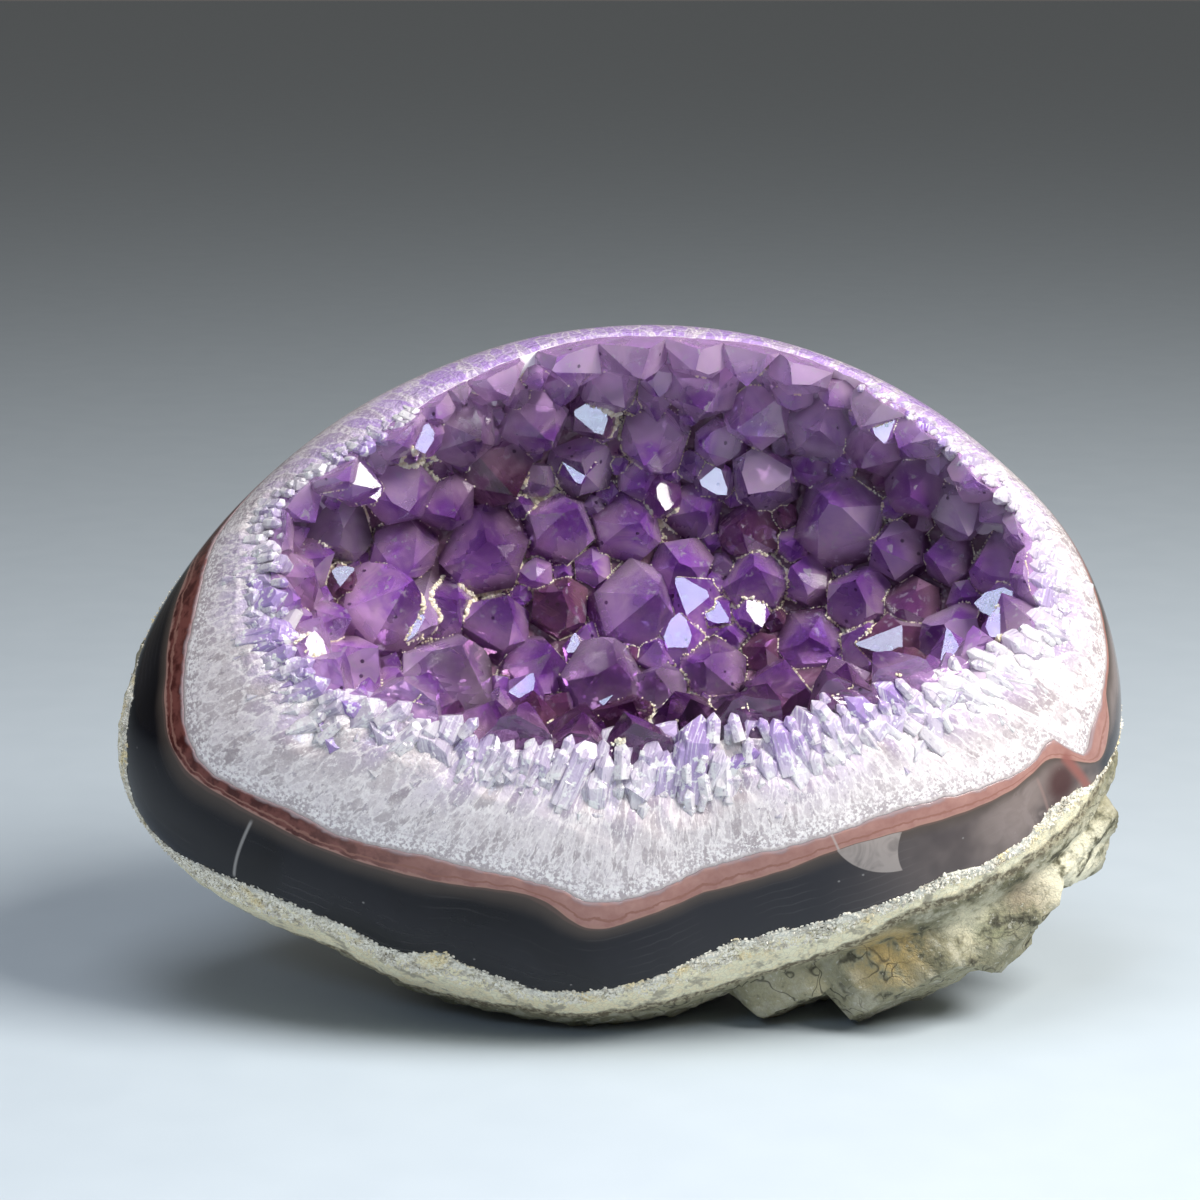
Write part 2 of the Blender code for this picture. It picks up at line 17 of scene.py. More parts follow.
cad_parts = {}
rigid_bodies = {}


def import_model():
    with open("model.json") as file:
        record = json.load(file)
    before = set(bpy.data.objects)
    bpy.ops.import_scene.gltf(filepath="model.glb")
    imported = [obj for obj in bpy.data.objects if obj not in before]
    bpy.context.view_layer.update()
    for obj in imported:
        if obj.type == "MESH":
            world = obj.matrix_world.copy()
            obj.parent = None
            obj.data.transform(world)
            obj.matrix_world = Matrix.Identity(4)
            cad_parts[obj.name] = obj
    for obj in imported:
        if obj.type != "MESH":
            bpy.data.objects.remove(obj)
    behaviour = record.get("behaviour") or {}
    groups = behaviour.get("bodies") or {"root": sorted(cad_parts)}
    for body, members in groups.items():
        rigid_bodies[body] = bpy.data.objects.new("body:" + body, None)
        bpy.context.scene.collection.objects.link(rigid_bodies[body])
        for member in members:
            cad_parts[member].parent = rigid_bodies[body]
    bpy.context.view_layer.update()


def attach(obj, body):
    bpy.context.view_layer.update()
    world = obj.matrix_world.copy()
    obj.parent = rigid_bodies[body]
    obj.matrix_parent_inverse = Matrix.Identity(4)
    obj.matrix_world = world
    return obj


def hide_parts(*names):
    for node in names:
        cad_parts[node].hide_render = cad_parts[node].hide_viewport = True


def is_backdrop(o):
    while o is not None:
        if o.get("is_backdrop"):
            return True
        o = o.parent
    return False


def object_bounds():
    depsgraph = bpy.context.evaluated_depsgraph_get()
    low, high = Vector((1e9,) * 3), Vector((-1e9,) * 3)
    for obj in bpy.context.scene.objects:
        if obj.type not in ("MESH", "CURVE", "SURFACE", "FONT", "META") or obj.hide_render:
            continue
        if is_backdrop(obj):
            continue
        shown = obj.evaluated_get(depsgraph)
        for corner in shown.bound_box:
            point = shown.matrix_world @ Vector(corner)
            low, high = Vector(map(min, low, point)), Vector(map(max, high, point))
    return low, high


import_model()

# Basalt rind
# The rough volcanic rock that the geode grew in. Its front edge was ground with the agate
# and shows a pale crust of small crystals; the rest is broken rock, with ledges left
# standing at the lower right, and a small flat spot underneath that the stone stands on.
MM = 0.001
FACE_RAISE = 12.0               # degrees by which the polished face's pole looks up
FRONT_BULGE = 52.0              # how far the dome reaches forwards and back
REAR_BULGE = 62.0
EYE_DISTANCE = 700.0            # camera to the dome's centre
COLUMNS = 600                   # steps around the stone
OUTLINE = [                     # compass angle, radius seen from the front
    (0, 100.3), (15, 95.2), (30, 86.8), (45, 79.9), (60, 74.7), (75, 71.1), (90, 69.1),
    (105, 68.9), (120, 70.3), (135, 74.0), (150, 79.5), (165, 87.4), (180, 96.6),
    (192, 101.0), (205, 94.5), (220, 82.3), (235, 75.6), (250, 72.0), (265, 70.8),
    (280, 69.3), (292, 68.5), (304, 72.5), (316, 80.5), (328, 91.0), (340, 99.5),
    (350, 101.3),
]
ROCK_EDGE = [                   # right and up, seen from the front
    (-95, 3.5), (-99, -7), (-100.5, -14.5), (-100, -22.5), (-96.5, -30.5), (-92, -37),
    (-82, -44), (-72, -49), (-57, -55), (-43, -62), (-27, -66), (-8, -68.5), (8, -66.5),
    (27, -61), (47, -54.5), (57, -49), (67, -45), (77, -41), (87, -34.5), (93, -28.5),
    (99, -18),
]
ROCK_EDGE_BEHIND = [(0, 100), (20, 108), (45, 118), (90, 124), (135, 116), (160, 104)]
AGATE_EDGE = [
    (-96.5, -2), (-98, -16), (-95.5, -28), (-88, -36), (-76.5, -41), (-60, -48),
    (-43, -56), (-35, -56), (-26.5, -59.5), (-12, -63.5), (6, -61), (17, -56), (41, -49.5),
    (65, -40.5), (75.5, -37), (88.5, -26), (100, -14.5),
]
AGATE_EDGE_BEHIND = [(0, 94), (20, 101), (45, 110), (90, 116), (135, 108), (160, 97)]
POCKET_MIDDLE = (6.0, 20.0)     # tilts right and up that every edge runs around
ROCK_FLOOR = (0.0, 0.0, -48.0)
AGATE_FLOOR = (0.0, 0.0, -41.0)
ROCK_START = 95.0               # tilt at which the rock turns in to the back
STRIP_RINGS = 14
SIDE_RINGS = 27
BACK_RINGS = 72
HIDDEN_RINGS = 8                # between two layers, where nothing is seen
LEDGES = [                      # compass angle, outside, ahead, half sizes
    (303, -1.6, 1, (15, 6, 14)),
    (316, -1.2, 5, (17, 6.5, 14)),
    (330, -3.6, 5, (16, 6, 12)),
    (340, -4.0, 1, (12, 5.5, 11)),
    (315, -5.0, -13, (18, 6.5, 14)),
    (330, -7.0, -12, (18, 7, 13)),
]
STAINS = [                      # right, up, ahead, radius, colour of a patch on the rock
    (53, -54, 18, 11, (0.50, 0.37, 0.16)), (80, -42, 14, 9, (0.22, 0.155, 0.09)),
    (87, -37, 6, 19, (1.0, 0.94, 0.72)), (68, -46, 14, 12, (0.74, 0.69, 0.50)),
    (73, -48, 12, 7, (0.36, 0.37, 0.15)), (40, -60, 8, 10, (0.30, 0.29, 0.19)),
    (-60, -30, -30, 26, (0.40, 0.33, 0.20)), (10, 20, -50, 30, (0.24, 0.20, 0.14)),
]
LEDGE_FACES = 18
LEDGE_SQUARENESS = 0.45
GOLDEN_TURN = math.pi * (3.0 - math.sqrt(5.0))


def unit(vector):
    return vector / np.linalg.norm(vector, axis=-1, keepdims=True)


def raised(degrees):
    tilt = math.radians(degrees)
    return np.array([0.0, -math.cos(tilt), math.sin(tilt)])


RIGHT = np.array([1.0, 0.0, 0.0])
FORWARD = raised(FACE_RAISE)
UP = np.cross(FORWARD, RIGHT)
CENTRE = np.array([-0.9, 0.7, 67.3])


def place(right, up, forward):
    """Points from their offsets to the dome's centre."""
    offsets = np.stack(np.broadcast_arrays(right, up, forward), axis=-1).astype(float)
    return CENTRE + offsets @ np.array([RIGHT, UP, FORWARD])


def around(pairs, angle):
    """Smooth closed curve through (angle, value) pairs, read at many angles."""
    known = np.array([p[0] for p in pairs], float)
    values = np.array([p[1] for p in pairs], float)
    angle = np.mod(np.asarray(angle, float), 360.0)
    first = np.searchsorted(known, angle, side="right") - 1
    a = []
    v = []
    for step in (-1, 0, 1, 2):
        k = first + step
        a.append(known[k % len(known)] + 360.0 * (k // len(known)))
        v.append(values[k % len(known)])
    span = a[2] - a[1]
    s = (angle - a[1]) / span
    slope1 = (v[2] - v[0]) / (a[2] - a[0]) * span
    slope2 = (v[3] - v[1]) / (a[3] - a[1]) * span
    start = (2 * s**3 - 3 * s**2 + 1) * v[1] + (s**3 - 2 * s**2 + s) * slope1
    return start + (3 * s**2 - 2 * s**3) * v[2] + (s**3 - s**2) * slope2


def on_dome(angle, tilt, lift=0.0):
    """Points on the dome from compass angles and tilts from the front pole."""
    a = np.radians(angle)
    t = np.radians(tilt)
    reach = (around(OUTLINE, angle) + lift) * np.sin(t)
    bulge = np.where(np.asarray(tilt) < 90.0, FRONT_BULGE, REAR_BULGE) + lift
    return place(reach * np.cos(a), reach * np.sin(a), bulge * np.cos(t))


def seen_on_dome(right, up):
    """Compass angle and tilt of the dome's point that is seen at a place."""
    forward = 0.0
    for _ in range(60):
        nearer = 1.0 - forward / EYE_DISTANCE
        angle = math.degrees(math.atan2(up, right)) % 360.0
        share = min(math.hypot(right, up) * nearer / around(OUTLINE, angle), 1.0)
        tilt = math.asin(share)
        forward = 0.5 * (forward + FRONT_BULGE * math.cos(tilt))
    return angle, math.degrees(tilt)


def about_pocket(angle, tilt):
    """Bearing and reach in degrees about the pocket's middle."""
    a = math.radians(angle)
    across = tilt * math.cos(a) - POCKET_MIDDLE[0]
    along = tilt * math.sin(a) - POCKET_MIDDLE[1]
    return math.degrees(math.atan2(along, across)) % 360.0, math.hypot(across, along)


def edge_about_pocket(seen, behind=()):
    """An outline on the face as (bearing, reach) pairs in order."""
    return sorted(about_pocket(*p) for p in [seen_on_dome(*s) for s in seen] + list(behind))


def pole_angles(bearing, reach):
    """Compass angles and tilts of places given about the pocket's middle."""
    b = np.radians(bearing)
    across = POCKET_MIDDLE[0] + reach * np.cos(b)
    along = POCKET_MIDDLE[1] + reach * np.sin(b)
    return np.degrees(np.arctan2(along, across)), np.hypot(across, along)


def on_face(bearing, reach, lift=0.0):
    angle, tilt = pole_angles(bearing, reach)
    return on_dome(angle, tilt, lift)


BEARINGS = np.arange(COLUMNS) * 360.0 / COLUMNS


def ragged(grain, depth, seed):
    """Uneven line around the stone, in degrees of reach, with teeth of a size in millimetres."""
    turn = np.radians(BEARINGS)
    spots = np.stack([90 * np.cos(turn) / grain, 90 * np.sin(turn) / grain], axis=-1)
    return depth * np.array([noise.noise(Vector((x, y, seed))) for x, y in spots])


def bumpy(points, *layers):
    """Noise at points, as layers of a height and a size in millimetres."""
    return np.array([sum(rise * noise.noise(Vector(p / size)) for rise, size in layers)
                     for p in points])


def back_fullness(bearing, reach):
    angle, _ = pole_angles(bearing, reach)
    return 0.80 - 0.22 * np.sin(np.radians(angle))


def bowl(rim, floor, axis, fullness, shares):
    """Rings of a bowl between its rim (0) and its floor point (1)."""
    out = rim - floor
    side = out - np.outer(out @ axis, axis)
    corner = floor + np.asarray(fullness).reshape(-1, 1) * side
    return [(1 - q)**2 * rim + 2 * q * (1 - q) * corner + q**2 * floor for q in shares]


def shown(name, data):
    """New object in the scene."""
    made = bpy.data.objects.new(name, data)
    bpy.context.scene.collection.objects.link(made)
    return made


def mark(mesh, name, values, domain="POINT"):
    """One number for each point or face of a mesh, which materials read by its name."""
    data = mesh.attributes.new(name, "FLOAT", domain).data
    data.foreach_set("value", np.broadcast_to(values, len(data)).astype(np.float32))


def loft(name, first, rings, last, numbers=None):
    """Closed mesh from a pole point, rings and a second pole point, with point values."""
    rings = np.asarray(rings)
    count, columns = rings.shape[:2]
    verts = np.concatenate([[first], rings.reshape(-1, 3), [last]]) * MM
    j = np.arange(columns)
    n = (j + 1) % columns
    k = np.arange(count - 1)[:, None] * columns + 1
    quads = np.stack([k + j, k + columns + j, k + columns + n, k + n], axis=-1).reshape(-1, 4)
    end = 1 + (count - 1) * columns
    caps = np.concatenate([np.stack([0 * j, 1 + j, 1 + n], axis=-1),
                           np.stack([end + j, 0 * j + len(verts) - 1, end + n], axis=-1)])
    triangles = np.concatenate([caps, quads[:, [0, 1, 2]], quads[:, [0, 2, 3]]])
    a, b, c = (verts[triangles[:, i]] for i in range(3))
    if np.einsum("ij,ij->i", a, np.cross(b, c)).sum() < 0:
        quads = quads[:, ::-1]
        caps = caps[:, ::-1]
    mesh = bpy.data.meshes.new(name)
    mesh.from_pydata(verts.tolist(), [], caps.tolist() + quads.tolist())
    for key, values in (numbers or {}).items():
        values = np.asarray(values, float)
        if values.ndim == 1:
            values = np.repeat(values[:, None], columns, axis=1)
        mark(mesh, key, [values[0].mean(), *values.reshape(-1), values[-1].mean()])
    mesh.shade_smooth()
    mesh.update()
    return shown(name, mesh)


def face_rings(outer, inner, shares):
    """Rings on the dome from an outer edge (0) towards an inner one (1)."""
    return [on_face(BEARINGS, outer + s * (inner - outer)) for s in shares]


rock_pairs = edge_about_pocket(ROCK_EDGE, ROCK_EDGE_BEHIND)
agate_pairs = edge_about_pocket(AGATE_EDGE, AGATE_EDGE_BEHIND)
agate_reach = around(agate_pairs, BEARINGS) + ragged(5.0, 0.9, 1.5) + ragged(1.7, 0.7, 4.5)
rock_reach = around(rock_pairs, BEARINGS) + ragged(9.0, 0.8, 7.5) + ragged(2.4, 0.7, 8.5)
rock_reach = np.maximum(rock_reach, agate_reach + 1.6)

# The ground strip between the agate and the rough rock, a little granular
strip = face_rings(agate_reach, rock_reach, np.linspace(0.0, 1.0, STRIP_RINGS))
for k in range(1, STRIP_RINGS):
    grit = bumpy(strip[k], (0.30, 1.3), (0.45, 3.6)) - 0.12
    strip[k] = strip[k] + unit(strip[k] - CENTRE) * grit[:, None]

# The rough rock: under the edge it follows the dome, then turns in to the back
edge_angle, edge_tilt = pole_angles(BEARINGS, rock_reach)
start_tilt = np.maximum(ROCK_START, edge_tilt + 4.0)
back_full = back_fullness(BEARINGS, rock_reach)
rough_rings = [on_dome(edge_angle, edge_tilt + share * (start_tilt - edge_tilt))
               for share in np.linspace(0.0, 1.0, SIDE_RINGS)[1:]]
back_point = place(*ROCK_FLOOR)
rough_rings += bowl(rough_rings[-1], back_point, FORWARD, back_full,
                    np.linspace(0, 1, BACK_RINGS)[1:-1])

ledge_planes = []
chance = random.Random(7)
for angle, outside, ahead, sizes in LEDGES:
    a = math.radians(angle)
    out = math.cos(a) * RIGHT + math.sin(a) * UP
    along = -math.sin(a) * RIGHT + math.cos(a) * UP
    middle = CENTRE + (around(OUTLINE, angle) + outside) * out + ahead * FORWARD
    planes = []
    for k in range(LEDGE_FACES):
        height = 1.0 - (2 * k + 1) / LEDGE_FACES
        turn = GOLDEN_TURN * k
        level = math.sqrt(1.0 - height**2)
        spread = np.array([level * math.cos(turn), level * math.sin(turn), height])
        facing = unit(spread + np.array([chance.gauss(0, 0.12) for _ in range(3)]))
        normal = facing[0] * along + facing[1] * out + facing[2] * FORWARD
        egg = np.linalg.norm(facing * np.array(sizes))
        brick = np.abs(facing * np.array(sizes)).sum()
        extent = (1 - LEDGE_SQUARENESS) * egg + LEDGE_SQUARENESS * brick
        extent *= chance.uniform(0.78, 0.98)
        planes.append((*normal, extent + normal @ middle))
    ledge_planes.append(np.array(planes))


def over_ledges(points, outward):
    """How far points must move outward to lie on the ledges that stand over them."""
    rise = np.zeros(len(points))
    for planes in ledge_planes:
        facing = outward @ planes[:, :3].T
        clear = planes[:, 3] - points @ planes[:, :3].T
        distance = clear / np.where(np.abs(facing) < 1e-6, 1e-6, facing)
        leave = np.where(facing > 0, distance, np.inf).min(axis=1)
        enter = np.where(facing < 0, distance, -np.inf).max(axis=1)
        rise = np.where((leave > enter) & (leave > 0), np.maximum(rise, leave), rise)
    return rise


noise.seed_set(4)               # noise_vector would otherwise follow the clock


def broken_rock(point):
    """Height of the broken surface: swells, blocky steps and pits."""
    at = Vector(point)
    swell = 1.5 * noise.noise(at / 26.0)
    blocks, _ = noise.voronoi(at / 11.0 + 0.4 * noise.noise_vector(at / 6.0))
    steps = 1.1 * min(blocks[1] - blocks[0], 0.5)
    grit = 0.75 * noise.noise(at / 4.2) + 0.42 * noise.noise(at / 1.7)
    pits = -0.9 * max(0.0, noise.noise(at / 3.1 + Vector((9.0, 2.0, 5.0))) - 0.28)
    return swell + steps + grit + pits - 0.55


rough = []
for count, ring in enumerate(rough_rings):
    outward = unit(ring - CENTRE)
    ease = min(1.0, 0.25 + count / 9.0)
    height = np.array([broken_rock(p) for p in ring]) * ease
    height += over_ledges(ring, outward) * min(1.0, count / 3.0)
    rough.append(ring + outward * height[:, None])
rough = np.array(rough)
rough[..., 2] = np.maximum(rough[..., 2], 0.0)
back_point = back_point + unit(back_point - CENTRE) * broken_rock(back_point)

agate_floor = place(*AGATE_FLOOR)
agate_full = back_fullness(BEARINGS, agate_reach)
inner_shares = np.linspace(0.0, 1.0, HIDDEN_RINGS)[1:-1]
inner = bowl(strip[0], agate_floor, FORWARD, agate_full, inner_shares)
rings = np.concatenate([np.array(inner[::-1]), np.array(strip), rough])
steps = np.linalg.norm(np.diff(rings[len(inner):], axis=0), axis=-1)
from_agate = np.concatenate([np.zeros((1, COLUMNS)), np.cumsum(steps, axis=0)])
from_rock = from_agate - from_agate[len(strip) - 1]
hidden = np.zeros((len(inner), COLUMNS))
rind = loft("basalt_rind_rock", agate_floor, rings, back_point,
            {"from_agate": np.concatenate([hidden, from_agate]),
             "from_rock": np.concatenate([hidden - 9.0, from_rock])})


def add(kind, inputs=None, **settings):
    """One node in the current tree; a socket given as an input is linked."""
    node = tree.nodes.new(kind)
    for key, value in settings.items():
        setattr(node, key, value)
    for key, value in (inputs or {}).items():
        if isinstance(value, bpy.types.NodeSocket):
            tree.links.new(value, node.inputs[key])
        else:
            node.inputs[key].default_value = value
    return node


def sums(operation, *values, clamp=False):
    """Arithmetic on numbers or sockets."""
    return add("ShaderNodeMath", dict(enumerate(values)), operation=operation,
               use_clamp=clamp).outputs[0]


def times(first, second):
    return sums("MULTIPLY", first, second)


def plus(first, second):
    return sums("ADD", first, second)


def scaled(value, by, shift):
    return sums("MULTIPLY_ADD", value, by, shift)


def vectors(operation, *values):
    """Vector arithmetic: a vector output, and a Value where the result is a number."""
    return add("ShaderNodeVectorMath", dict(enumerate(values)), operation=operation).outputs


def part(vector, axis):
    return add("ShaderNodeSeparateXYZ", {0: vector}).outputs[axis]


def spread(value, low, high, to_low=0.0, to_high=1.0):
    """Value mapped from one range to another, smoothly and clamped."""
    return add("ShaderNodeMapRange", {0: value, 1: low, 2: high, 3: to_low, 4: to_high},
               interpolation_type="SMOOTHSTEP").outputs[0]


def blend(share, first, second, kind="MIX"):
    """Two colours, or colour sockets, mixed."""
    values = [(*v, 1.0) if isinstance(v, tuple) and len(v) == 3 else v for v in (first, second)]
    return add("ShaderNodeMix", {0: share, 6: values[0], 7: values[1]},
               data_type="RGBA", blend_type=kind).outputs[2]


def cloud(coords, scale, detail=3.0, rough=0.55, warp=0.0):
    """Noise value around 0.5."""
    return add("ShaderNodeTexNoise", {"Vector": coords, "Scale": scale, "Detail": detail,
                                      "Roughness": rough, "Distortion": warp}).outputs["Fac"]


def colour_cloud(coords, scale, **detail):
    return add("ShaderNodeTexNoise",
               {"Vector": coords, "Scale": scale, **detail}).outputs["Color"]


def bumps(height, strength, distance):
    return add("ShaderNodeBump", {"Height": height, "Strength": strength,
                                  "Distance": distance}).outputs[0]


def number(name):
    return add("ShaderNodeAttribute", attribute_name=name).outputs["Fac"]


def near(coords, point, radius):
    """1 at a point on the stone, in millimetres, falling to 0 at a radius."""
    distance = vectors("DISTANCE", coords, tuple(point * MM))["Value"]
    return spread(distance, radius * MM, 0.25 * radius * MM)


def material(name):
    """Start a material, which the functions above then fill."""
    global tree
    made = bpy.data.materials.new(name)
    made.use_nodes = True
    tree = made.node_tree
    return made, tree.nodes["Principled BSDF"], add("ShaderNodeTexCoord").outputs["Object"]


def into(shader, **sockets):
    """Feed values or sockets to the shader, with underscores for blanks."""
    for key, value in sockets.items():
        slot = shader.inputs[key.replace("_", " ")]
        if isinstance(value, bpy.types.NodeSocket):
            tree.links.new(value, slot)
        else:
            slot.default_value = (*value, 1.0) if isinstance(value, tuple) else value


def group(name, kind, inputs, outputs):
    """Start a node group with named sockets; gives its tree, its inputs and its outputs."""
    made = bpy.data.node_groups.new(name, kind)
    for way, labels in (("INPUT", inputs), ("OUTPUT", outputs)):
        for label, socket in labels.items():
            made.interface.new_socket(label, in_out=way, socket_type="NodeSocket" + socket)
    return made, made.nodes.new("NodeGroupInput").outputs, made.nodes.new("NodeGroupOutput").inputs


# Small crystals packed together, as in the crust and the quartz: a random shade for each
# and a mask that is 1 on their joints
grain_group, ins, outs = group("crystal_grain", "ShaderNodeTree",
                               {"Vector": "Vector", "Scale": "Float", "Joint": "Float"},
                               {"Shade": "Float", "Joints": "Float"})
tree = grain_group
packing = {"Vector": ins["Vector"], "Scale": ins["Scale"]}
cells = add("ShaderNodeTexVoronoi", packing)
borders = add("ShaderNodeTexVoronoi", packing, feature="DISTANCE_TO_EDGE")
shade = add("ShaderNodeSeparateColor", {0: cells.outputs["Color"]}).outputs[0]
width = sums("DIVIDE", borders.outputs["Distance"], ins["Joint"])
tree.links.new(shade, outs["Shade"])
tree.links.new(sums("SUBTRACT", 1.0, width, clamp=True), outs["Joints"])


def grain(vector, scale, joint):
    """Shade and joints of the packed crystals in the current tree."""
    node = add("ShaderNodeGroup", node_tree=grain_group)
    tree.links.new(vector, node.inputs["Vector"])
    node.inputs["Scale"].default_value = scale
    node.inputs["Joint"].default_value = joint
    return node.outputs


rock, shader, coords = material("basalt")
from_agate_mm = number("from_agate")
from_rock_mm = number("from_rock")
patches = cloud(coords, 38.0, 4.0, 0.6)
mottle = cloud(coords, 230.0, 3.0, 0.65)
fine = cloud(coords, 900.0, 2.0, 0.6)
stone = blend(spread(patches, 0.36, 0.62), (0.155, 0.148, 0.088), (0.36, 0.34, 0.225))
stone = blend(spread(mottle, 0.47, 0.66), stone, (0.43, 0.41, 0.31))
stone = blend(spread(mottle, 0.44, 0.30), stone, (0.085, 0.078, 0.052))
stone = blend(spread(fine, 0.60, 0.72), stone, (0.50, 0.48, 0.39))
for right, up, ahead, radius, stain in STAINS:
    share = times(near(coords, place(right, up, ahead), radius), spread(mottle, 0.36, 0.55))
    stone = blend(share, stone, stain)
bent = vectors("MULTIPLY_ADD", coords, colour_cloud(coords, 90.0), (0.012,) * 3)["Vector"]
cracks = add("ShaderNodeTexVoronoi", {"Vector": bent, "Scale": 95.0},
             feature="DISTANCE_TO_EDGE").outputs["Distance"]
crack = times(spread(cracks, 0.035, 0.0), spread(patches, 0.44, 0.60))
stone = blend(times(crack, 0.8), stone, (0.030, 0.026, 0.018))

shade, joint = grain(coords, 900.0, 0.10)
wander = scaled(mottle, 2.6, -1.3)
druse = blend(shade, (0.76, 0.73, 0.64), (0.98, 0.95, 0.84))
cream = blend(scaled(shade, 0.6, 0.2), (1.0, 0.86, 0.56), (1.0, 0.97, 0.74))
cream = blend(spread(mottle, 0.52, 0.64), cream, (0.52, 0.47, 0.35))
# a darker brown band along the crust's outer edge, next to the rough rock
brink = blend(spread(fine, 0.42, 0.60), (0.17, 0.14, 0.09), (0.50, 0.45, 0.31))
crust = blend(spread(plus(from_agate_mm, wander), 1.6, 2.8), druse, cream)
ground = plus(from_rock_mm, wander)
crust = blend(spread(ground, -2.6, -1.2), crust, brink)
colour = blend(spread(ground, -0.3, 1.8), crust, stone)
colour = blend(times(joint, 0.25), colour, (0.20, 0.19, 0.15))
into(shader, Base_Color=colour, Normal=bumps(cloud(coords, 260.0, 5.0, 0.75), 0.85, 0.0016),
     Roughness=spread(from_rock_mm, -2.5, 0.5, 0.5, 0.92), Specular_IOR_Level=0.35)
rind.data.materials.append(rock)
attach(rind, "root")
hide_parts("basalt_rind")

# Druse on the crust
# Small pale blue-white quartz crystals that stand on the crust where it meets the agate.
# They grew there before the agate and are cut and chipped by the grinding.
DRUSE_SIZE = 0.78               # millimetres across
DRUSE_PER_CM2 = 330.0
bed_shares = np.linspace(-0.03, 0.40, 7)
bed_rings = [on_face(BEARINGS, agate_reach + s * (rock_reach - agate_reach), -0.25)
             for s in bed_shares]
bed = loft("druse_bed", bed_rings[0].mean(axis=0), bed_rings, bed_rings[-1].mean(axis=0))
trim = bmesh.new()
trim.from_mesh(bed.data)
bmesh.ops.delete(trim, geom=[f for f in trim.faces if len(f.verts) == 3], context="FACES")
trim.to_mesh(bed.data)
trim.free()

scatter, ins, outs = group("druse_crystals", "GeometryNodeTree",
                           {"Geometry": "Geometry", "Size": "Float", "Density": "Float",
                            "Finish": "Material"}, {"Geometry": "Geometry"})
tree = scatter
swarm = add("GeometryNodeDistributePointsOnFaces",
            {"Mesh": ins["Geometry"], "Density": ins["Density"], "Seed": 4}).outputs
point = add("GeometryNodeMeshCone",
            {"Vertices": 6, "Radius Top": 0.0, "Radius Bottom": 0.5, "Depth": 0.85})
lean = add("FunctionNodeRandomValue", {0: (-0.9, -0.9, 0.0), 1: (0.9, 0.9, 6.2), 8: 9},
           data_type="FLOAT_VECTOR")
turn = add("FunctionNodeRotateRotation", {0: swarm["Rotation"], 1: lean.outputs[0]},
           rotation_space="LOCAL")
sizes = add("FunctionNodeRandomValue", {2: 0.45, 3: 1.35, 8: 5}, data_type="FLOAT")


def crowd(points, thing, turn, size, finish):
    """Realized copies of a thing on points, flat shaded, in their material."""
    copies = add("GeometryNodeInstanceOnPoints",
                 {"Points": points, "Instance": thing.outputs["Mesh"], "Rotation": turn,
                  "Scale": size})
    real = add("GeometryNodeRealizeInstances", {0: copies.outputs[0]})
    flat = add("GeometryNodeSetShadeSmooth", {0: real.outputs[0], "Shade Smooth": False})
    return add("GeometryNodeSetMaterial", {0: flat.outputs[0], "Material": finish}).outputs[0]


tree.links.new(crowd(swarm["Points"], point, turn.outputs[0],
                     times(sizes.outputs[1], ins["Size"]), ins["Finish"]), outs[0])

druse_finish, shader, coords = material("druse_quartz")
colour = blend(spread(cloud(coords, 420.0, 2.0), 0.34, 0.56), (0.60, 0.55, 0.46),
               (1.0, 0.95, 0.82))
colour = blend(spread(cloud(coords, 120.0, 2.0), 0.52, 0.66), colour, (0.92, 0.78, 0.48))
into(shader, Base_Color=colour, Roughness=0.18, IOR=1.54)


def kept(thing):
    """Keep what an object's modifiers make as its mesh, and drop them."""
    graph = bpy.context.evaluated_depsgraph_get()
    mesh = bpy.data.meshes.new_from_object(thing.evaluated_get(graph))
    thing.modifiers.clear()
    thing.data = mesh


def grown(thing, shapes, **values):
    """Run a geometry tree on an object with named inputs."""
    change = thing.modifiers.new("grown", "NODES")
    change.node_group = shapes
    for item in shapes.interface.items_tree:
        if item.in_out == "INPUT" and item.name in values:
            change[item.identifier] = values[item.name]
    kept(thing)


grown(bed, scatter, Size=DRUSE_SIZE * MM, Density=DRUSE_PER_CM2 * 1e4, Finish=druse_finish)
bed.name = "pale_druse"
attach(bed, "root")

# Agate band
# Dark chalcedony laid down in even layers on the crust, sawn and polished like glass. Its
# innermost layer is stained red-brown with iron, in a band that follows the quartz.
QUARTZ_EDGE = [
    (-79, 28.5), (-83.5, 15.5), (-86.5, 0.5), (-86.5, -8.5), (-83, -17.5), (-67.5, -26),
    (-53, -32.5), (-23, -39.5), (-10.5, -43), (-5.5, -45), (8, -43), (34.5, -34),
    (58.5, -26), (83.5, -17.5), (88, -13), (93, -16.5), (95, -11), (98, 3.5),
]
QUARTZ_EDGE_BEHIND = [(20, 84), (45, 94), (90, 101), (135, 92), (150, 84)]
RED_EDGE = [
    (-82, 27.5), (-86, 19.5), (-90, 3), (-90.5, -5.5), (-86.5, -18.5), (-76.5, -25.5),
    (-65.5, -31.5), (-43, -39.5), (-21.5, -43), (-14.5, -45), (-5.5, -50.5), (5.5, -48),
    (28, -40.5), (43, -35), (51.5, -32.5), (65.5, -28.5), (83, -20), (87.3, -16.6),
    (96.5, -17.2), (98.5, -11), (98, -3.5),
]
RED_EDGE_BEHIND = [(20, 88), (45, 98), (90, 105), (135, 96), (150, 88)]
QUARTZ_FLOOR = (2.0, 3.0, -28.0)
RED_RINGS = 8
DARK_RINGS = 44
SEAM = 0.04                     # the layers stand this close together, millimetres
CLEFT = [                       # middle, radius and softness of the arcs that bound the fan
    ((56.0, -26.2), 13.9, -0.12), ((66.5, -33.0), 10.5, 0.12),
]
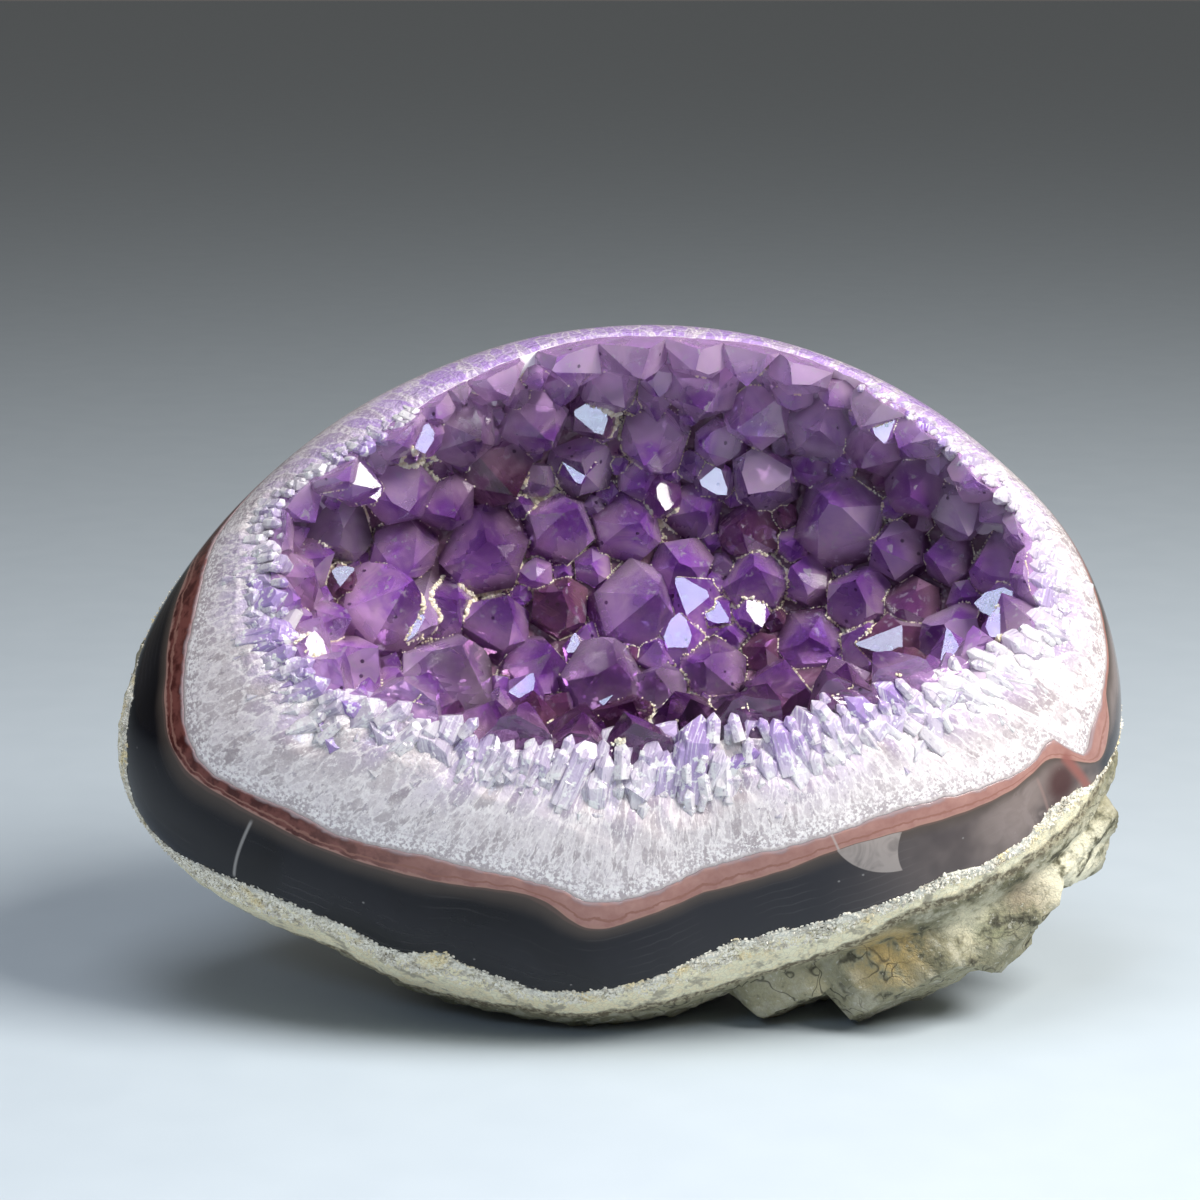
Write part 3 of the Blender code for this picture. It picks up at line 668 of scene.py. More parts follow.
CRACKS = [                      # start, end, width, strength and colour of lines in the agate
    ((89.2, -16.0), (94.8, -23.6), 1.7, 0.9, (0.27, 0.10, 0.085)),
    ((84.0, -20.5), (86.6, -28.5), 0.5, 0.5, (0.30, 0.20, 0.18)),
    ((-73, -29), (-76.5, -40.5), 0.45, 0.55, (0.55, 0.52, 0.50)),
    ((42.6, -31.0), (44.6, -35.2), 0.35, 0.5, (0.55, 0.52, 0.50)),
]

quartz_pairs = edge_about_pocket(QUARTZ_EDGE, QUARTZ_EDGE_BEHIND)
red_pairs = edge_about_pocket(RED_EDGE, RED_EDGE_BEHIND)
quartz_reach = around(quartz_pairs, BEARINGS) + ragged(7.0, 0.35, 21.5) + ragged(1.6, 0.30, 22.5)
red_reach = np.maximum(around(red_pairs, BEARINGS) + ragged(4.0, 0.25, 23.5), quartz_reach + 1.0)
red_reach = np.minimum(red_reach, agate_reach - 2.0)
quartz_floor = place(*QUARTZ_FLOOR)
quartz_full = back_fullness(BEARINGS, quartz_reach)
red_shares = np.linspace(0, 1, RED_RINGS)[:-1]
dark_shares = np.linspace(0, 1, DARK_RINGS)
red_rings = face_rings(quartz_reach, red_reach, red_shares)
dark_rings = face_rings(red_reach, agate_reach - SEAM, dark_shares)
agate_in = bowl(red_rings[0], quartz_floor, FORWARD, quartz_full, inner_shares)
agate_out = bowl(dark_rings[-1], agate_floor + SEAM * FORWARD, FORWARD, agate_full, inner_shares)
layers = [np.ones(len(agate_in)), red_shares, 1.0 + dark_shares, np.full(len(agate_out), 2.0)]
agate = loft("agate_band_polished", quartz_floor, agate_in[::-1] + red_rings + dark_rings
             + agate_out, agate_floor + SEAM * FORWARD, {"layer": np.concatenate(layers)})

chalcedony, shader, coords = material("agate")
layer = number("layer")
swirl = cloud(coords, 26.0, 4.0, 0.5, 0.6)
haze = cloud(coords, 70.0, 3.0, 0.5)
x_place = part(coords, "X")
dark = blend(spread(swirl, 0.35, 0.65), (0.002, 0.002, 0.004), (0.009, 0.009, 0.014))
# painted light: the agate turns from near-black to dark grey towards the right, the side the key
# light comes from; the mauve swirls next are the agate's own pattern, but put only on that lit
# right part
dark = blend(spread(x_place, -0.04, 0.04), dark, (0.022, 0.022, 0.029))
mauve = blend(spread(haze, 0.35, 0.62), (0.125, 0.097, 0.093), (0.25, 0.20, 0.185))
dark = blend(times(spread(x_place, 0.035, 0.085), spread(swirl, 0.28, 0.50)), dark, mauve)
beyond = plus(times(sums("SUBTRACT", layer, 1.0), 14.0), scaled(haze, 1.6, -0.8))
dark = blend(times(spread(beyond, 3.2, 0.0), 0.9), dark, (0.085, 0.066, 0.056))
dark = blend(times(spread(beyond, 0.5, 0.2), 0.8), dark, (0.13, 0.085, 0.072))
veils = times(spread(sums("SINE", times(beyond, 3.4)), 0.75, 1.0), spread(haze, 0.46, 0.66))
dark = blend(times(veils, 0.05), dark, (0.34, 0.32, 0.32))
stain = cloud(coords, 300.0, 3.0, 0.6)
red = blend(spread(stain, 0.38, 0.62), (0.070, 0.016, 0.014), (0.19, 0.062, 0.052))
pink = blend(stain, (0.26, 0.105, 0.090), (0.50, 0.29, 0.25))
# the red layer is dark red on the left and pink towards the right: partly its own colour, partly
# painted light from the key on the right
red = blend(spread(x_place, -0.072, -0.015), red, pink)
creep = plus(layer, scaled(stain, 0.5, -0.25))
red = blend(times(spread(creep, 0.60, 0.66), spread(creep, 0.76, 0.70)), red, (0.30, 0.14, 0.11))
red = blend(spread(creep, 0.86, 0.95), red, (0.40, 0.22, 0.18))
red = blend(spread(creep, 0.22, 0.02), red, (0.34, 0.25, 0.26))
colour = blend(spread(layer, 0.97, 1.01), red, dark)


def specks(scale, radii, shares):
    """Dots of a size in some of a pattern's cells."""
    cells = add("ShaderNodeTexVoronoi", {"Vector": coords, "Scale": scale}).outputs
    lot = add("ShaderNodeSeparateColor", {0: cells["Color"]}).outputs[1]
    return times(spread(cells["Distance"], *radii), spread(lot, *shares))


colour = blend(times(specks(210.0, (0.075, 0.02), (0.78, 0.82)), 0.45), colour,
               (0.45, 0.43, 0.42))
feather = cloud(coords, 130.0, 3.0, 0.65, 1.5)
plume = times(near(coords, on_dome(*seen_on_dome(82, -29)), 11.0), spread(feather, 0.46, 0.62))
plume = times(plume, spread(layer, 1.02, 1.12))
colour = blend(times(plume, 0.8), colour, (0.26, 0.21, 0.20))
rust = times(near(coords, on_dome(*seen_on_dome(89, -21.5)), 6.5), spread(layer, 1.0, 1.04))
colour = blend(times(rust, 0.9), colour, (0.060, 0.020, 0.020))
for start, end, width, strength, tint_of in CRACKS:
    a, b = (on_dome(*seen_on_dome(*spot)) * MM for spot in (start, end))
    away = vectors("SUBTRACT", coords, tuple(a))["Vector"]
    run = vectors("DOT_PRODUCT", away, tuple(unit(b - a)))["Value"]
    across = unit(np.cross(b - a, a + b - 2.0 * CENTRE * MM))
    off = sums("ABSOLUTE", vectors("DOT_PRODUCT", away, tuple(across))["Value"])
    reach = float(np.linalg.norm(b - a))
    inside = times(spread(run, -0.0005, 0.001), spread(run, reach + 0.0005, reach - 0.001))
    crack = times(inside, spread(off, width * MM, 0.1 * width * MM))
    colour = blend(times(crack, strength), colour, tint_of)
# a pale cleft under the red layer, shaped like a fan with a curved lower edge
cleft = spread(layer, 1.0, 1.01)
for middle, radius, edge in CLEFT:
    out_mm = vectors("DISTANCE", coords, tuple(on_dome(*seen_on_dome(*middle)) * MM))["Value"]
    cleft = times(cleft, spread(out_mm, (radius - edge) * MM, (radius + edge) * MM))
colour = blend(times(cleft, spread(feather, 0.30, 0.60, 0.45, 0.9)), colour, (0.38, 0.33, 0.31))
into(shader, Base_Color=colour, Roughness=0.07, IOR=1.54, Specular_IOR_Level=0.18)
agate.data.materials.append(chalcedony)
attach(agate, "root")
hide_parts("agate_band")

# Quartz band
# White to clear crystalline quartz that grew inwards from the agate as packed, ever
# coarser columns, and turned violet towards the pocket. Polished where it meets the face.
POCKET_EDGE = [
    (87, 10.5), (87, 22.5), (83, 32.5), (75, 40.5), (63, 50.5), (47, 60), (31, 65.5),
    (15, 67.5), (-3, 67.5), (-23, 62.5), (-43, 52.5), (-57, 43.5), (-69, 35.5),
    (-71, 22.5), (-71, 10.5), (-66, 1.5), (-59, -5.5), (-49, -8), (-39, -11), (-27, -14.5),
    (-11, -16), (5, -18), (21, -13.5), (35, -12.5), (47, -7.5), (63, -3.5), (75, 2.5),
]
POCKET_FLOOR = (7.0, 4.0, -9.0)
POCKET_AXIS = raised(FACE_RAISE + 22.0)
POCKET_FULLNESS = 0.86
QUARTZ_RINGS = 80
WRAP = 80.0                     # the columns are laid out on a drum of this radius
WALL_FROM = 29.0                # depth value of the hidden wall behind the crystals
MOUNDS = [                      # wide points that face forwards: right, up, width, violet
    (14.8, -21.5, 14, 0.75), (1.5, -16, 10, 0.45), (28, -14.5, 10, 0.9), (-13, -16, 9, 0.3),
    (-25, -14.5, 9, 0.15), (46, -12, 10, 0.6), (58, -8, 9, 0.5), (70, -3, 8, 0.5),
    (-61, -9.5, 10, 0.9), (-56, -4.5, 8, 1.0), (-67, 3, 8, 0.5), (-40, -12, 9, 0.2),
    (5, -24, 8, 0.35), (36, -18, 8, 0.3), (-3, -21, 7, 0.5), (64, -12, 8, 0.15),
    (77, 5, 7, 0.3), (-72, 14, 8, 0.2), (-50, -9, 7, 0.3), (23, -20.5, 7, 0.4),
]
LIP_WIDTHS = [                  # bearing, width of the unpolished lip beside the pocket
    (0, 6), (30, 3), (60, 1.2), (120, 1.2), (150, 2.5), (180, 5), (230, 8), (265, 12),
    (300, 9), (340, 8),
]

pocket_pairs = edge_about_pocket(POCKET_EDGE)
pocket_reach = around(pocket_pairs, BEARINGS) + ragged(7.0, 0.5, 31.5) + ragged(2.2, 0.35, 32.5)
pocket_floor = place(*POCKET_FLOOR)
face = np.array(face_rings(quartz_reach - SEAM, pocket_reach,
                           np.linspace(0.0, 1.0, QUARTZ_RINGS)))
steps = np.linalg.norm(np.diff(face, axis=0), axis=-1)
depth = np.concatenate([np.zeros((1, COLUMNS)), np.cumsum(steps, axis=0)])
to_pocket = depth[-1] - depth
turn = np.radians(BEARINGS)
drum = np.stack([np.broadcast_to(WRAP * np.cos(turn), depth.shape),
                 np.broadcast_to(WRAP * np.sin(turn), depth.shape), 0.4 * depth], axis=-1)


def lip_sink(bearing):
    """How far the lip lies under the face, millimetres."""
    return np.interp(around(LIP_WIDTHS, bearing), (1.0, 7.0), (0.3, 2.4))


uneven = np.array([bumpy(ring, (1.0, 2.4)) for ring in face])
ragged_lip = np.array([bumpy(ring, (1.0, 5.0)) for ring in face])
lip_width = around(LIP_WIDTHS, BEARINGS) * (1.25 + 0.6 * ragged_lip)
ease = np.clip(1.0 - to_pocket / lip_width, 0.0, 1.0)
sink = lip_sink(BEARINGS) * ease**2 * (3.0 - 2.0 * ease)
for right, up, width, _ in MOUNDS:
    away = np.linalg.norm(face - on_dome(*seen_on_dome(right, up)), axis=-1)
    bay = np.clip(1.35 - away / (0.5 * width), 0.0, 1.0)
    sink = np.maximum(sink, 0.22 * width * bay**2 * (3.0 - 2.0 * bay))
face = face - unit(face - CENTRE) * (sink * (1.0 + 0.5 * uneven))[..., None]
quartz_in = bowl(face[-1], pocket_floor, POCKET_AXIS, np.full(COLUMNS, POCKET_FULLNESS),
                 inner_shares)
quartz_out = bowl(face[0], quartz_floor + SEAM * FORWARD, FORWARD, quartz_full, inner_shares)
rings = np.concatenate([np.array(quartz_in[::-1]), face[::-1], np.array(quartz_out)])
deep = np.zeros((len(quartz_in), COLUMNS))
wide = np.zeros((len(quartz_out), COLUMNS))
drum_rings = np.concatenate([np.repeat(drum[-1:], len(quartz_in), axis=0), drum[::-1],
                             np.repeat(drum[:1], len(quartz_out), axis=0)])
quartz = loft("quartz_band_crystalline", pocket_floor, rings, quartz_floor + SEAM * FORWARD,
              {"depth_mm": np.concatenate([deep + 30.0, depth[::-1], wide]),
               "to_pocket": np.concatenate([deep, to_pocket[::-1], wide + 30.0]),
               "drum_x": drum_rings[..., 0], "drum_y": drum_rings[..., 1],
               "drum_z": drum_rings[..., 2]})

milk, shader, coords = material("white_quartz")
depth_mm = number("depth_mm")
edge_mm = number("to_pocket")
columns = add("ShaderNodeCombineXYZ",
              {i: number(f"drum_{c}") for i, c in enumerate("xyz")}).outputs[0]
for scale, detail, by in ((0.45, 2.0, 1.3), (2.6, 1.0, 0.7)):
    jitter = colour_cloud(columns, scale, Detail=detail)
    columns = vectors("MULTIPLY_ADD", jitter, (by, by, by), columns)["Vector"]
mid_shade, mid_joint = grain(columns, 0.62, 0.13)
wide_shade, wide_joint = grain(columns, 0.27, 0.085)
shards = cloud(columns, 1.5, 3.0, 0.7)
to_wide = spread(scaled(shards, 12.0, sums("SUBTRACT", depth_mm, 6.0)), 7.0, 13.0)
joint = blend(to_wide, mid_joint, wide_joint)
body = blend(blend(to_wide, mid_shade, wide_shade), (0.40, 0.34, 0.36), (0.80, 0.73, 0.75))
violet = times(spread(edge_mm, 17.0, 1.0), spread(cloud(columns, 0.12, 1.0), 0.36, 0.60))
body = blend(times(violet, 0.6), body, (0.40, 0.28, 0.62))
high = times(spread(part(coords, "Z"), 0.098, 0.122), spread(edge_mm, 20.0, 8.0, 0.15, 1.0))
high = times(high, spread(wide_shade, 0.15, 0.75, 0.35, 1.0))
body = blend(times(high, 0.9), body, (0.36, 0.20, 0.58))
white = times(joint, spread(shards, 0.30, 0.50))
white = sums("MAXIMUM", white, spread(shards, 0.56, 0.66))
body = blend(times(white, scaled(high, -0.55, 0.90)), body, (0.93, 0.87, 0.87))
body = blend(times(spread(shards, 0.42, 0.34), 0.6), body, (0.34, 0.29, 0.35))
sugar = cloud(coords, 1500.0, 2.0, 0.6)
near_red = spread(depth_mm, 7.0, 1.0, 0.18, 1.0)
body = blend(times(spread(sugar, 0.50, 0.62), near_red), body, (0.96, 0.92, 0.91))
body = blend(times(spread(sugar, 0.48, 0.38), near_red), body, (0.46, 0.40, 0.42))
seam = blend(sugar, (0.36, 0.30, 0.30), (0.66, 0.58, 0.57))
body = blend(spread(depth_mm, 1.2, 0.1), body, seam)
relief = bumps(cloud(coords, 700.0, 2.0), spread(edge_mm, 12.0, 2.0, 0.10, 0.6), 0.0009)
into(shader, Base_Color=body, Normal=relief, Roughness=0.16, IOR=1.54)
# the part behind the crystals, seen only through them
backing, shader, coords = material("pocket_wall")
cloudy = spread(cloud(coords, 90.0, 2.0), 0.40, 0.62)
into(shader, Base_Color=blend(cloudy, (0.52, 0.36, 0.54), (0.96, 0.90, 0.98)), Roughness=0.6)
quartz.data.materials.append(milk)
quartz.data.materials.append(backing)
deeps = quartz.data.attributes["depth_mm"].data
for face in quartz.data.polygons:
    if any(deeps[i].value > WALL_FROM for i in face.vertices):
        face.material_index = 1
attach(quartz, "root")
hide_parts("quartz_band")

# Amethyst crystals
# Six-sided points of clear purple quartz that grew from the band into the open pocket, in
# one crust with the lining they stand on. Grinding the face cut the ones at the rim flush.
CRUST = 4.0                     # solid crystal under the points, millimetres
RIM_CRUST = 1.6
MM_PER_DEGREE = 1.35
ROOT = 4.0
POINT_SLOPE = 38.2              # degrees between a point's faces and its axis
UNEVEN = 1.5                    # how much smaller every other face is
LEAN_SPREAD = 0.22
MAIN_CRYSTALS = [               # tip seen from the front, right and up, and width
    (-65, 30, 14), (-24, 25, 18), (-10, 29, 15), (4, 16, 17), (-5, 40, 13),
    (18, 52, 15), (43, 30, 18), (50, 50, 12), (15, 64, 12), (71, 38, 12),
    (64, 23, 11), (-3, -10, 14), (31, 2, 13), (-43, 18, 18), (-57, 10, 14),
    (-31, 6, 19), (-3, 4, 16), (17, -6, 16), (47, 16, 13), (15, -20, 13),
    (-61, -4, 11), (47, -6, 14), (63, 0, 12), (-45, 50, 12), (-27, 46, 14),
    (-22, 60, 11), (36, 60, 12), (60, 48, 12), (76, 14, 13), (78, 28, 11),
    (-68, 18, 11), (-40, 34, 13), (29, 38, 13), (-18, -10, 12), (30, -11, 12),
    (-58, 22, 11), (0, 54, 12), (-12, 14, 12), (28, 20, 13), (58, 34, 12),
    (-48, -5, 11), (-34, -9, 10), (16, 32, 12), (-56, 38, 11), (70, 10, 11),
]
GLEAMING = [                    # right, up, width, way its tip points, light it faces
    (-3.6, 50.8, 8.5, -60, "window"), (-7.8, 41.4, 8, -75, "window"),
    (-53.4, 40.8, 9, -25, "key"), (-50.5, 36.5, 6, -80, "key"), (-41.6, 10, 9, -95, "window"),
    (-54.2, 18.8, 6, 30, "window"), (-63.2, 2.2, 7, 80, "key"), (14.8, 15, 10, 130, "window"),
    (19.5, 11, 6.5, -40, "window"), (12.5, 8.2, 8.5, 90, "window"), (28.8, 12, 7, -80, "key"),
    (53.8, 6.4, 11.5, 180, "window"), (76, 14, 9.5, 175, "window"), (77.8, 7.4, 8, 95, "window"),
    (69.2, 0.8, 8.5, 100, "window"), (46.4, -3.6, 8.5, 95, "window"),
    (-18.2, -2.8, 7, 60, "window"), (-9.2, 5.4, 5, 90, "window"), (-41.2, 51.4, 7.5, -75, "window"),
    (20, 38.5, 7.5, -50, "window"), (10, 34.4, 7.5, -110, "key"), (-3.2, -3, 7, -85, "window"),
    (55.8, 52, 8, -90, "window"),
]
DARKER_PATCHES = [(-4, -9, 46), (38, -10, 43), (-26, 47, 32)]     # darker parts: right, up, radius
EYE = CENTRE + EYE_DISTANCE * FORWARD
PANELS = {"key": np.array([520.0, -360.0, 720.0]), "window": np.array([-300.0, -750.0, 550.0])}
GLINT = 0.965                   # cosine of the angle within which a face catches a light
FILL_WIDTHS = (8.5, 13.5)       # crystals between the main ones, until little room is left
FILL_MINIMUM = 3.4
FILL_CROWDING = 2.6
SMALL_WIDTHS = (4.2, 7.5)       # then small ones in the corners
SMALL_MINIMUM = 1.05
SMALL_CROWDING = 2.9
LINING_COLUMNS = 200

lining_bearings = np.arange(LINING_COLUMNS) * 360.0 / LINING_COLUMNS
full = np.full(LINING_COLUMNS, POCKET_FULLNESS)
front_floor = pocket_floor + CRUST * POCKET_AXIS
lining_shares = np.linspace(0.0, 1.0, 26)


def lining_wall(out_degrees, floor):
    """Rings of the pocket's wall from its rim down, drawn in or out at the rim."""
    rim = on_face(lining_bearings, around(pocket_pairs, lining_bearings) + out_degrees)
    return bowl(rim, floor, POCKET_AXIS, full, lining_shares)[:-1]


front_wall = lining_wall(-0.45, front_floor)
back_wall = lining_wall(1.0, pocket_floor - POCKET_AXIS)
proud = [ring + 2.0 * unit(ring - CENTRE) for ring in (front_wall[0], back_wall[0])]
lining = loft("amethyst_points", front_floor, front_wall[::-1] + proud + back_wall,
              pocket_floor - POCKET_AXIS)
space_back = lining_wall(-0.35, pocket_floor + 0.3 * POCKET_AXIS)
caps = []
for share in np.linspace(0.0, 1.0, 60)[1:]:
    reach = share * (around(pocket_pairs, lining_bearings) - 0.35)
    cap = on_face(lining_bearings, reach)
    inside = (1.0 - share) * around(pocket_pairs, lining_bearings) * MM_PER_DEGREE
    drop = lip_sink(lining_bearings) * np.clip(1.6 - inside / 6.0, 0.0, 1.0)
    drop *= 1.0 + 0.5 * bumpy(cap, (1.0, 2.4))
    caps.append(cap - unit(cap - CENTRE) * drop[:, None])
space = loft("pocket_space", on_face(0.0, 0.0), caps + space_back[1:],
             pocket_floor + 0.3 * POCKET_AXIS)


def wall(bearing, q):
    """Point on the lining's front and its direction into the pocket."""
    def at(b, s):
        rim = on_face(b, around(pocket_pairs, b) - RIM_CRUST / MM_PER_DEGREE)
        out = rim - front_floor
        corner = front_floor + POCKET_FULLNESS * (out - POCKET_AXIS * (out @ POCKET_AXIS))
        return (1 - s)**2 * rim + 2 * s * (1 - s) * corner + s**2 * front_floor
    along = at(bearing + 1.0, q) - at(bearing - 1.0, q)
    down = at(bearing, min(q + 0.01, 1.0)) - at(bearing, q - 0.01)
    return at(bearing, q), unit(np.cross(along, down))


def seen(point):
    """Where a point is seen from the front, millimetres right and up."""
    out = point - CENTRE
    nearer = EYE_DISTANCE / (EYE_DISTANCE - out @ FORWARD)
    return np.array([out @ RIGHT, out @ UP]) * nearer


def over_face(point):
    """1 for a point on the dome, less for one inside it."""
    right, up, ahead = np.array([RIGHT, UP, FORWARD]) @ (point - CENTRE)
    reach = around(OUTLINE, math.degrees(math.atan2(up, right)))
    return math.sqrt((right**2 + up**2) / reach**2 + (ahead / FRONT_BULGE)**2)


THREES = np.array([(i, j, k) for i in range(13) for j in range(i) for k in range(j)])


def convex_solid(name, planes):
    """Mesh of the solid inside planes (outward normal, distance), in millimetres."""
    normals = np.array([n for n, _ in planes])
    offsets = np.array([d for _, d in planes])
    rows = normals[THREES]
    usable = np.abs(np.linalg.det(rows)) > 1e-6
    points = np.linalg.solve(rows[usable], offsets[THREES[usable]][..., None])[..., 0]
    points = points[np.all(points @ normals.T <= offsets + 1e-6, axis=1)]
    work = bmesh.new()
    for point in points:
        work.verts.new(point)
    bmesh.ops.remove_doubles(work, verts=work.verts[:], dist=0.02)
    bmesh.ops.convex_hull(work, input=work.verts[:])
    bmesh.ops.dissolve_limit(work, angle_limit=math.radians(1.0), verts=work.verts[:],
                             edges=work.edges[:])
    mesh = bpy.data.meshes.new(name)
    work.to_mesh(mesh)
    work.free()
    return mesh


points = bpy.data.collections.new("points")
bpy.context.scene.collection.children.link(points)
roots = []


def beside(axis):
    """Two directions square to a crystal's axis."""
    side = unit(np.cross(axis, np.array([0.3, 0.5, 0.81])))
    return side, np.cross(axis, side)


def facings(axis, spin):
    """Directions of a crystal's six sides, and of the six faces at its tip."""
    side, other = beside(axis)
    slope = math.radians(POINT_SLOPE)
    for turn in (spin + k * math.pi / 3 for k in range(6)):
        outward = math.cos(turn) * side + math.sin(turn) * other
        yield outward, math.cos(slope) * outward + math.sin(slope) * axis


def set_point(group, tip, axis, width, length, spin, **numbers):
    """One crystal; its faces carry its shade, and its texture map the height on it."""
    side, _ = beside(axis)
    planes = [(-axis, length - axis @ tip)]
    for k, (outward, slant) in enumerate(facings(axis, spin)):
        half = 0.5 * width * chance.uniform(0.88, 1.08)
        planes.append((outward, half + outward @ tip))
        setback = width * (0.0 if k % 2 else chance.uniform(0.0, 0.09))
        planes.append((slant, setback * UNEVEN + slant @ tip))
    mesh = convex_solid("point", planes)
    for key, value in {"shade": tint.random(), "size": width, **numbers}.items():
        mark(mesh, key, value, "FACE")
    mark(mesh, "facet", [tint.random() for _ in mesh.polygons], "FACE")
    layer = mesh.uv_layers.new(name="along")
    for loop in mesh.loops:
        from_tip = np.array(mesh.vertices[loop.vertex_index].co) - tip
        layer.data[loop.index].uv = (from_tip @ side, 1.0 + from_tip @ axis / (length - ROOT * 0.6))
    for vert in mesh.vertices:
        vert.co = vert.co * MM
    group.objects.link(bpy.data.objects.new("point", mesh))
    return mesh


def mirrors(tip, axis, spin):
    """Whether a face of this point throws one of the lights into the eye."""
    eye = unit(EYE - tip)
    backs = [2.0 * (f @ eye) * f - eye for pair in facings(axis, spin) for f in pair]
    return any(back @ unit(panel - tip) > GLINT for back in backs for panel in PANELS.values())


def shaken(by):
    """A small random turn, added to a direction."""
    return np.array([chance.gauss(0, by) for _ in range(3)])


def grow(root, inward, width, lean):
    """Set one crystal on the lining, turned so that none of its faces is a mirror."""
    axis = unit(inward + lean * POCKET_AXIS + shaken(LEAN_SPREAD))
    rise = width * chance.uniform(0.62, 0.82)
    tip = root + rise * axis
    spin = chance.uniform(0, math.pi / 3)
    for _ in range(12):
        if not mirrors(tip, axis, spin):
            break
        spin += 0.21
    set_point(points, tip, axis, width, rise + ROOT, spin)
    roots.append((root, width))


spots = [wall(3.0 * k, q) for k in range(120) for q in np.linspace(0.03, 0.985, 34)]
chance = random.Random(21)
tint = random.Random(5)
for right, up, width in MAIN_CRYSTALS:
    target = np.array([right, up])
    tips = [np.linalg.norm(seen(p + 0.72 * width * unit(n + 0.3 * POCKET_AXIS)) - target)
            for p, n in spots]
    grow(*spots[int(np.argmin(tips))], width, 0.3)

for right, up, width, turn, panel in GLEAMING:
    target = np.array([right, up])
    lift = 0.35 * width + 2.4
    off = [np.linalg.norm(seen(p + lift * n) - target) for p, n in spots]
    root, inward = spots[int(np.argmin(off))]
    middle = root + lift * inward
    facing = unit(unit(EYE - middle) + unit(PANELS[panel] - middle))
    turn = math.radians(turn)
    rise = math.cos(turn) * RIGHT + math.sin(turn) * UP
    rise = unit(rise - facing * (rise @ facing))
    slope = math.radians(POINT_SLOPE)
    axis = math.sin(slope) * facing + math.cos(slope) * rise
    side, other = beside(axis)
    spin = math.atan2(facing @ other, facing @ side) - math.pi / 3
    set_point(points, middle + 0.45 * width * rise, axis, width, 1.1 * width + 12.0, spin)
    roots.append((root, 0.6 * width))
places = np.array([p for p, _ in spots])
room = np.full(len(spots), np.inf)
for root, width in roots:
    room = np.minimum(room, np.linalg.norm(places - root, axis=1) - 0.5 * width)
for widths, minimum, crowding in ((FILL_WIDTHS, FILL_MINIMUM, FILL_CROWDING),
                                  (SMALL_WIDTHS, SMALL_MINIMUM, SMALL_CROWDING)):
    while room.max() > minimum:
        roomiest = int(np.argmax(room))
        width = min(max(crowding * room[roomiest], widths[0]), widths[1])
        grow(*spots[roomiest], width, 0.15)
        room = np.minimum(room, np.linalg.norm(places - roots[-1][0], axis=1) - 0.5 * width)


def joined(thing, operation, tool):
    """Join or cut an object with another one, or with a whole collection."""
    change = thing.modifiers.new("joined", "BOOLEAN")
    change.operation = operation
    change.solver = "MANIFOLD"
    if isinstance(tool, bpy.types.Collection):
        change.operand_type = "COLLECTION"
        change.collection = tool
    else:
        change.object = tool
    kept(thing)


for name, cut_value in (("shade", 0.5), ("facet", 0.7), ("size", 5.0)):
    mark(lining.data, name, 0.0, "FACE")
    mark(space.data, name, cut_value, "FACE")
lining.data.uv_layers.new(name="along")
ground = space.data.uv_layers.new(name="along")
ground.data.foreach_set("uv", [0.0, 0.7] * len(ground.data))
joined(lining, "UNION", points)
joined(lining, "INTERSECT", space)
for made in [space, *points.objects]:
    bpy.data.objects.remove(made)
bpy.data.collections.remove(points)
work = bmesh.new()
work.from_mesh(lining.data)
left = set(work.verts)
parts = []
while left:
    found = {left.pop()}
    fresh = set(found)
    while fresh:
        fresh = {e.other_vert(v) for v in fresh for e in v.link_edges} - found
        found |= fresh
    left -= found
    parts.append(found)
largest = max(parts, key=len)
bmesh.ops.delete(work, geom=[v for v in work.verts if v not in largest], context="VERTS")
work.to_mesh(lining.data)
work.free()
lining.data.shade_flat()
for polygon, size in zip(lining.data.polygons, lining.data.attributes["size"].data):
    polygon.use_smooth = size.value == 0.0
edge_line = on_face(BEARINGS, pocket_reach) * MM
near_edge = KDTree(COLUMNS)
for k, p in enumerate(edge_line):
    near_edge.insert(p, k)
near_edge.balance()
mark(lining.data, "from_rim", [near_edge.find(v.co)[2] / MM for v in lining.data.vertices])

violet_glass, shader, coords = material("amethyst")
shade = number("shade")
facet = number("facet")
rim_mm = number("from_rim")
along = add("ShaderNodeUVMap", uv_map="along").outputs[0]
height = part(along, "Y")
veil = cloud(coords, 150.0, 3.0, 0.6, 0.8)
flaws = cloud(coords, 620.0, 2.0, 0.65)
deep = spread(rim_mm, 4.0, 22.0)
tipness = scaled(veil, 1.3, sums("SUBTRACT", height, 0.65))
core = spread(tipness, 0.25, 0.95)
colour = blend(core, (1.0, 0.64, 1.0), (0.50, 0.17, 0.84))
smoky = blend(core, (0.94, 0.76, 0.96), (0.66, 0.42, 0.80))
colour = blend(spread(shade, 0.20, 0.14), colour, smoky)
brown = blend(core, (0.50, 0.25, 0.34), (0.30, 0.10, 0.24))
colour = blend(times(spread(shade, 0.74, 0.80), deep), colour, brown)
tone = scaled(facet, 0.92, 0.55)
grey = add("ShaderNodeCombineXYZ", {0: tone, 1: tone, 2: tone}).outputs[0]
colour = blend(1.0, colour, grey, "MULTIPLY")
colour = blend(times(spread(facet, 0.84, 0.90), 0.55), colour, (0.95, 0.80, 0.97))
# painted shade: low on the points and deeper in the pocket, in the gaps between them, the colour is
# darkened to a near-black maroon
painted_gap_shade = times(spread(height, 0.54, 0.12), deep)
colour = blend(times(painted_gap_shade, 0.93), colour, (0.060, 0.018, 0.032))
pale = times(spread(rim_mm, 15.0, 2.0), spread(height, 1.2, 0.2, 0.25, 1.0))
pale = times(pale, spread(veil, 0.35, 0.60, 0.45, 1.0))
